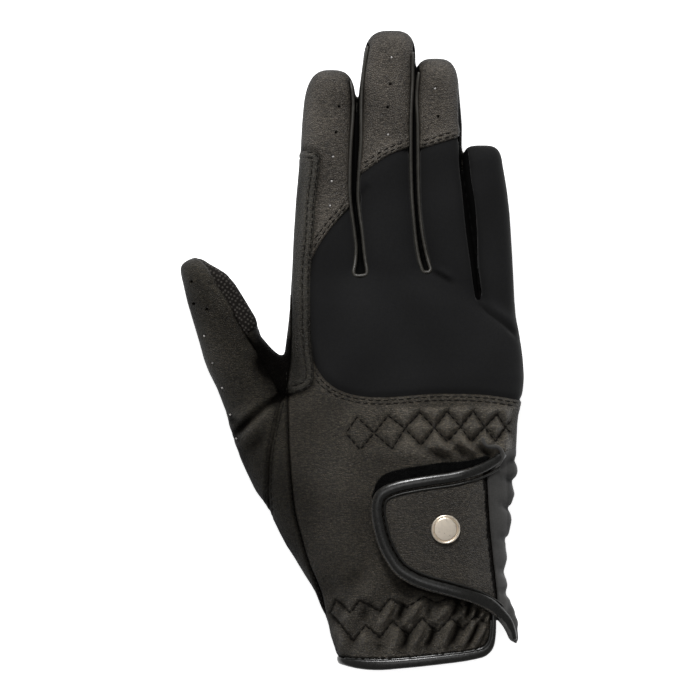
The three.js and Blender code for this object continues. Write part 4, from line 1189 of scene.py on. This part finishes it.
# The cuff's binding is the band along the hem, and the panels stop at it
band_outline = np.vstack([cuff_inner, curve(TAIL_EDGE)[3:], at(BAND_PAST)])


def band_split(skin):
    """The band of a skin along the hem, and the rest of it."""
    return parted(skin, inside_of(skin.points, band_outline))


band_top, leather_skin = band_split(leather_skin)
panel("back_leather", leather_skin, BACK, "back_leather", ["back_leather"], laps=[back_lap],
      unders=[strip_seam], plain=[gusset_seam, cuff_inner],
      shadow=shaded(440, 560, 0.2, gusset_seam, 17, 0.3))


def binding_bulge(points):
    """How far the hem's binding stands out between its two edges."""
    outer, inner = np.abs(side_of(points, cuff_edge)), np.abs(side_of(points, cuff_inner))
    across = (outer - inner) / (outer + inner + 1e-6)
    return BULGE * np.sqrt(np.clip(1 - np.abs(across) ** BULGE_CORNER, 0, 1)) - BULGE_DROP


band_top = refined(band_top, np.ones(len(band_top.points), bool))
band_top = band_top.moved(binding_bulge(band_top.points))
surfaces.append(band_top)
band_low, palm_skin = band_split(below)
band_low = refined(band_low, np.ones(len(band_low.points), bool))
lift = binding_bulge(band_low.points)
band_low = band_low.moved(np.where(band_low.out[:, 2] < -0.5, 0, lift))
piece("cuff_binding", *together([thickened(band_top, BAND_WALL), thickened(band_low, LOW_BAND_WALL)]),
      TRIM, "edge_binding", ["cuff_binding"])
piece("palm", *thickened(palm_skin, WALL), PALM, "palm_leather", ["palm", "thumb_front"])

# The tab, and the grey root that it grows from
root_plan = inside_of(top.points, np.vstack([
    curve(TAB_SEAM[1:]), curve(TAIL_EDGE)[4:], at(ROOT_PAST)]))
root_skin = kept(top, root_plan)
root_skin = root_skin.moved(tab_lift(root_skin.points))
panel("tab_root", root_skin, ROOT, "grey_stretch", ["tab_root"], plain=[tab_seam])

inner_tab = beside(tab_outline, TAB_BINDING - 0.6)
tab_plan = inside_of(top.points, np.vstack([tab_outline, at(TAB_PAST)]))
tab_skin = kept(top, np.minimum(tab_plan, -side_of(top.points, tab_seam)))
tab_skin = refined(tab_skin, np.abs(side_of(tab_skin.points, inner_tab, 3)) < 2)
edge_gap = side_of(tab_skin.points, tab_outline, 12)
tab_skin = tab_skin.moved(tab_lift(tab_skin.points)
                          - TAB_SEAM_DEPTH * bump(side_of(tab_skin.points, tab_seam, 4), TAB_SEAM_WIDTH)
                          + TAB_CROWN * ease(edge_gap, 3, 10)
                          - TAB_GROOVE * bump(edge_gap - TAB_BINDING - 0.2, 0.6))
surfaces.append(tab_skin)
# Painted shade in the groove inside the binding and along the tab's seam
tab_painted_shade = 0.85 * bump(edge_gap - TAB_BINDING - 0.2, 0.55)
tab_painted_shade = np.maximum(tab_painted_shade, 0.9 * bump(side_of(tab_skin.points, tab_seam, 4), TAB_SEAM_WIDTH))
piece("wrist_tab", *thickened(tab_skin, TAB_THICKNESS), TAB_LOOK, "tip_leather", ["wrist_tab"],
      np.tile(tab_painted_shade, 2))


class Ground:
    """Heights of the surfaces made so far."""

    def __init__(self, skins):
        starts = np.cumsum([0] + [len(s.points) for s in skins])
        points = np.vstack([s.points for s in skins])
        triangles = np.vstack([s.triangles + start for s, start in zip(skins, starts)])
        self.tree = BVHTree.FromPolygons(points.tolist(), triangles.tolist())

    def height(self, place, fallback=0.0):
        hit, direction, _, _ = self.tree.ray_cast(Vector((place[0], place[1], 80)), Vector((0, 0, -1)))
        if hit is None:
            return fallback, np.array((0, 0, 1.0))
        return hit.z, np.array(direction if direction.z > 0 else -direction)

    def lay(self, line):
        """A line in plan, laid on the surface."""
        heights, last = [], 0.0
        for place in line:
            last, _ = self.height(place, last)
            heights.append(last)
        return np.column_stack([line, heights])


def evened(path, reach, rise=0.0):
    """A path raised, with each height the mean of those near it."""
    window = np.full(2 * reach + 1, 1 / (2 * reach + 1))
    heights = np.convolve(np.pad(path[:, 2], reach, "edge"), window, "valid")
    return np.column_stack([path[:, :2], heights + rise])


def tube(path, across, up, sides=12, ends=0.4, roll=None):
    """A closed tube along a path, across wide and up high from its middle, with rounded ends."""
    n = len(path)
    along = np.gradient(path, axis=0)
    along /= np.linalg.norm(along, axis=1)[:, None] + 1e-9
    side = np.cross(along, (0, 0, 1.0)) if roll is None else np.cross(along, roll)
    side /= np.linalg.norm(side, axis=1)[:, None] + 1e-9
    high = np.cross(side, along)
    turn = 2 * np.pi * np.arange(sides) / sides
    full = np.ones(n)
    reach = min(6, n // 3)
    taper = np.sqrt(1 - (1 - np.arange(1, reach + 1) / reach) ** 2) * (1 - ends) + ends
    full[:reach] = taper
    full[-reach:] = taper[::-1]
    full = full[:, None]
    rings = (path[:, None] + np.cos(turn)[None, :, None] * (side * full * across)[:, None]
             + np.sin(turn)[None, :, None] * (high * full * up)[:, None])
    points = np.vstack([rings.reshape(-1, 3), path[:1], path[-1:]])
    i, k = np.meshgrid(np.arange(n - 1), np.arange(sides), indexing="ij")
    a, b = (i * sides + k).ravel(), (i * sides + (k + 1) % sides).ravel()
    quads = np.vstack([np.stack([a, a + sides, b], 1), np.stack([b, a + sides, b + sides], 1)])
    k = np.arange(sides)
    last = (n - 1) * sides
    caps = np.vstack([np.stack([np.full(sides, n * sides), k, (k + 1) % sides], 1),
                      np.stack([np.full(sides, n * sides + 1), last + (k + 1) % sides, last + k], 1)])
    return points, np.vstack([quads, caps])


def lathed(profile, sides, middle, up):
    """A closed body turned about up, from (radius, height) pairs that start and end on its axis."""
    turn = 2 * np.pi * np.arange(sides) / sides
    axis_x = np.cross((0, 1, 0), up)
    axis_x /= np.linalg.norm(axis_x)
    axis_y = np.cross(up, axis_x)
    around = np.cos(turn)[:, None] * axis_x + np.sin(turn)[:, None] * axis_y
    rings = [middle + height * up + radius * around for radius, height in profile[1:-1]]
    poles = [middle + height * up for height in (profile[0][1], profile[-1][1])]
    k = np.arange(sides)
    after = (k + 1) % sides
    triangles = []
    for start in sides * np.arange(len(rings) - 1):
        a, b = start + k, start + after
        triangles += [np.stack([a, a + sides, b], 1), np.stack([b, a + sides, b + sides], 1)]
    last = (len(rings) - 1) * sides
    first_pole, last_pole = (np.full(sides, len(rings) * sides + i) for i in range(2))
    triangles += [np.stack([first_pole, k, after], 1), np.stack([last_pole, last + after, last + k], 1)]
    return np.vstack([*rings, *poles]), np.vstack(triangles)


def stitches(name, lines, ground, length=STITCH_LENGTH, gap=STITCH_GAP, radius=THREAD_RADIUS, sink=0.0):
    """A row of thread stitches along each line in plan."""
    made = []
    for line in lines:
        line = spaced(line, 0.25)
        steps = np.linalg.norm(np.diff(line, axis=0), axis=1)
        reach = np.r_[0, np.cumsum(steps)]
        starts = np.arange(gap, reach[-1] - length, length + gap)
        for start in starts:
            where = start + length * np.linspace(0, 1, 6)
            plan = np.stack([np.interp(where, reach, line[:, i]) for i in range(2)], 1)
            hits = [ground.height(p, np.nan) for p in plan]
            heights = np.array([h for h, _ in hits])
            if np.isnan(heights).any() or np.ptp(heights) > 2.5:
                continue
            arch = radius * (1.1 - 2.4 * np.linspace(-1, 1, 6) ** 2) - sink
            path = np.column_stack([plan, heights + arch])
            made.append(tube(path, radius, radius, sides=6, ends=0.5))
    return piece(name, *together(made), THREAD, "back_leather")


ground = Ground(surfaces)

# Piping along the two inner finger gaps, round each fork
for label, left_line, fork, right_line in (("piping_index", INDEX_PIPE, INDEX_FORK, MIDDLE_PIPE),
                                           ("piping_middle", MIDDLE_PIPE_FAR, MIDDLE_FORK, RING_PIPE)):
    route = curve((*left_line, *fork, *right_line[::-1]), 0.7)
    path = evened(ground.lay(route), 4, PIPING_RISE)
    piece(label, *tube(path, PIPING_RADIUS, PIPING_RADIUS, 12, 0.2), PIPE, "edge_binding", [label])

# A thin ridge along the inner edge of the cuff's binding
hem_path = evened(ground.lay(spaced(cuff_inner, 0.7)[31:-4]), 5, 0.05)
piece("cuff_ridge", *tube(hem_path, 0.55, 0.6, 12, 0.3), TRIM, "edge_binding")

# The tab's binding
share = np.linspace(0, 1, len(tab_outline))
binding_half = np.interp(share, *np.array(BINDING_WIDTHS).T)
binding_route = np.column_stack([beside(tab_outline, 1.0), binding_half])
binding_route[:, :2] = tab_outline + (binding_route[:, :2] - tab_outline) * binding_half[:, None]
binding_route = spaced(binding_route, 0.7)
binding_half = binding_route[:, 2:]
binding_route = binding_route[:, :2]
tab_ground = Ground([top.moved(tab_lift(top.points))])
binding_path = evened(tab_ground.lay(binding_route), 5, 0.15 - TAB_THICKNESS / 2)
piece("tab_binding", *tube(binding_path, binding_half, 1.25, 18, 0.5), TRIM, "edge_binding",
      ["tab_binding"])
ridge_route = spaced(beside(tab_outline, TAB_BINDING + 0.85)[4:-12], 0.7)
ridge_path = evened(tab_ground.lay(ridge_route), 5)
piece("tab_ridge", *tube(ridge_path, 0.42, 0.5, 12, 0.4), RIDGE, "edge_binding")
hairpin = evened(ground.lay(curve(HAIRPIN, 0.6)), 4, 0.2)
piece("tab_fold", *tube(hairpin, 0.75, 0.8, 12, 0.3), ROOT, "grey_stretch")

# Loop: a fuzzy patch that shows above the tab
loop_outline = np.vstack([curve(LOOP_TOP), curve(LOOP_LOW)])
loop_skin = kept(top, inside_of(top.points, loop_outline)).moved(LOOP_HEIGHT)
piece("loop_pile", *thickened(loop_skin, LOOP_WALL), PILE_SHADED, "pile", ["loop_pile"])
random = np.random.default_rng(7)
strand_at = random.uniform(loop_outline.min(0), loop_outline.max(0), (STRANDS_TRIED, 2))
strand_at = strand_at[inside_of(np.column_stack([strand_at, strand_at[:, 0]]), loop_outline) > -0.35]
loop_ground = Ground([loop_skin])
strands = []
edge_at = curve(LOOP_TOP, 0.12)
edge_at = np.vstack([edge_at + random.normal(0, 0.2, edge_at.shape) for _ in range(2)])
for place in np.vstack([strand_at[:STRANDS_KEPT], edge_at]):
    z, _ = loop_ground.height(place, np.nan)
    if np.isnan(z):
        continue
    lean = random.normal(0, STRAND_LEAN, 2)
    tall = random.uniform(*STRAND_HEIGHTS)
    foot = np.array([*place, z - 0.1])
    tip = foot + (lean[0], lean[1] + 0.15, tall)
    angle = random.uniform(0, 2 * np.pi) + 2 * np.pi * np.arange(3) / 3
    ring = foot + STRAND_RADIUS * np.stack([np.cos(angle), np.sin(angle), 0 * angle], 1)
    strands.append((np.vstack([ring, tip]), np.array([[0, 1, 3], [1, 2, 3], [2, 0, 3], [0, 2, 1]])))
piece("loop_strands", *together(strands), PILE_SHADED, "pile")

# Snap
snap_place = at(SNAP_PLACE)
snap_z, snap_up = ground.height(snap_place)
piece("snap", *lathed(SNAP_PROFILE, SNAP_SIDES, np.array([*snap_place, snap_z]), snap_up), NICKEL, "nickel",
      ["snap"])

# Pale discs down in some of the vent holes: painted light showing through them
dots = []
for place in at(HOLES_WITH_LIGHT):
    z, _ = ground.height(place)
    dots.append(tube(np.array([[*place, z - 0.3], [*place, z + 0.4], [*place, z + 0.75]]),
                     HOLE_LIGHT_RADIUS, HOLE_LIGHT_RADIUS, 12, 1.0, (0, 1.0, 0)))
piece("vent_hole_light", *together(dots), HOLE_LIGHT, "tip_leather")

# Stitches
stitches("stitches_laps", [line for line, _ in stitch_rows()], ground)
stitches("stitches_gathers", [spaced(at(line), 0.3) for line in (DIAMOND_UP, DIAMOND_DOWN, SHIRR_HIGH,
                                                                   SHIRR_LOW)], ground, 1.9, 0.7, 0.24)
stitches("stitches_gusset", [gusset_seam], ground, 1.2, 0.8, 0.16)
stitches("stitches_tab", [beside(tab_outline, TAB_BINDING + 0.2)[3:-14]], ground, 1.8, 0.9, 0.3)
stitches("stitches_cuff", [beside(cuff_inner, 0.9)[14:-8]], ground, 1.7, 0.8)

# The hook under the tab stays as it is in the frame
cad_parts["hook_pile"].material_slots[0].material = PILE_SHADED

# Floor, light and camera
bpy.ops.mesh.primitive_plane_add(size=FLOOR_SIDE, location=(0, 0, -FLOOR_DROP))
floor = bpy.context.object
floor.name = "floor"


def floor_look(_, shader):
    shader.inputs["Base Color"].default_value = (0.9, 0.9, 0.9, 1)
    shader.inputs["Roughness"].default_value = 0.9
    shader.inputs["Emission Color"].default_value = (1, 1, 1, 1)
    shader.inputs["Emission Strength"].default_value = FLOOR_GLOW


floor.data.materials.append(material("floor_look", floor_look))

world = bpy.data.worlds.new("studio")
world.use_nodes = True
world.node_tree.nodes["Background"].inputs["Color"].default_value = (1, 1, 1, 1)
world.node_tree.nodes["Background"].inputs["Strength"].default_value = SKY_GLOW
bpy.context.scene.world = world


def area_light(name, place, size, power):
    light = bpy.data.lights.new(name, "AREA")
    light.size = size
    light.energy = power
    made = bpy.data.objects.new(name, light)
    made.location = place
    made.rotation_euler = (-Vector(place)).to_track_quat("-Z", "Y").to_euler()
    bpy.context.scene.collection.objects.link(made)


for name, place, size, power in LIGHTS:
    area_light(name, place, size, power)

view_side = PHOTO_SIDE * PIXEL * MM
camera_data = bpy.data.cameras.new("camera")
camera_data.sensor_width = FILM_WIDTH
camera_data.lens = FILM_WIDTH * (CAMERA_HEIGHT - LOOK_HEIGHT) / view_side
camera = bpy.data.objects.new("camera", camera_data)
centre_x, centre_y = at((PHOTO_SIDE / 2, PHOTO_SIDE / 2)) * MM
camera.location = (centre_x, centre_y, CAMERA_HEIGHT)
bpy.context.scene.collection.objects.link(camera)
bpy.context.scene.camera = camera
bpy.context.scene.view_settings.view_transform = "Standard"
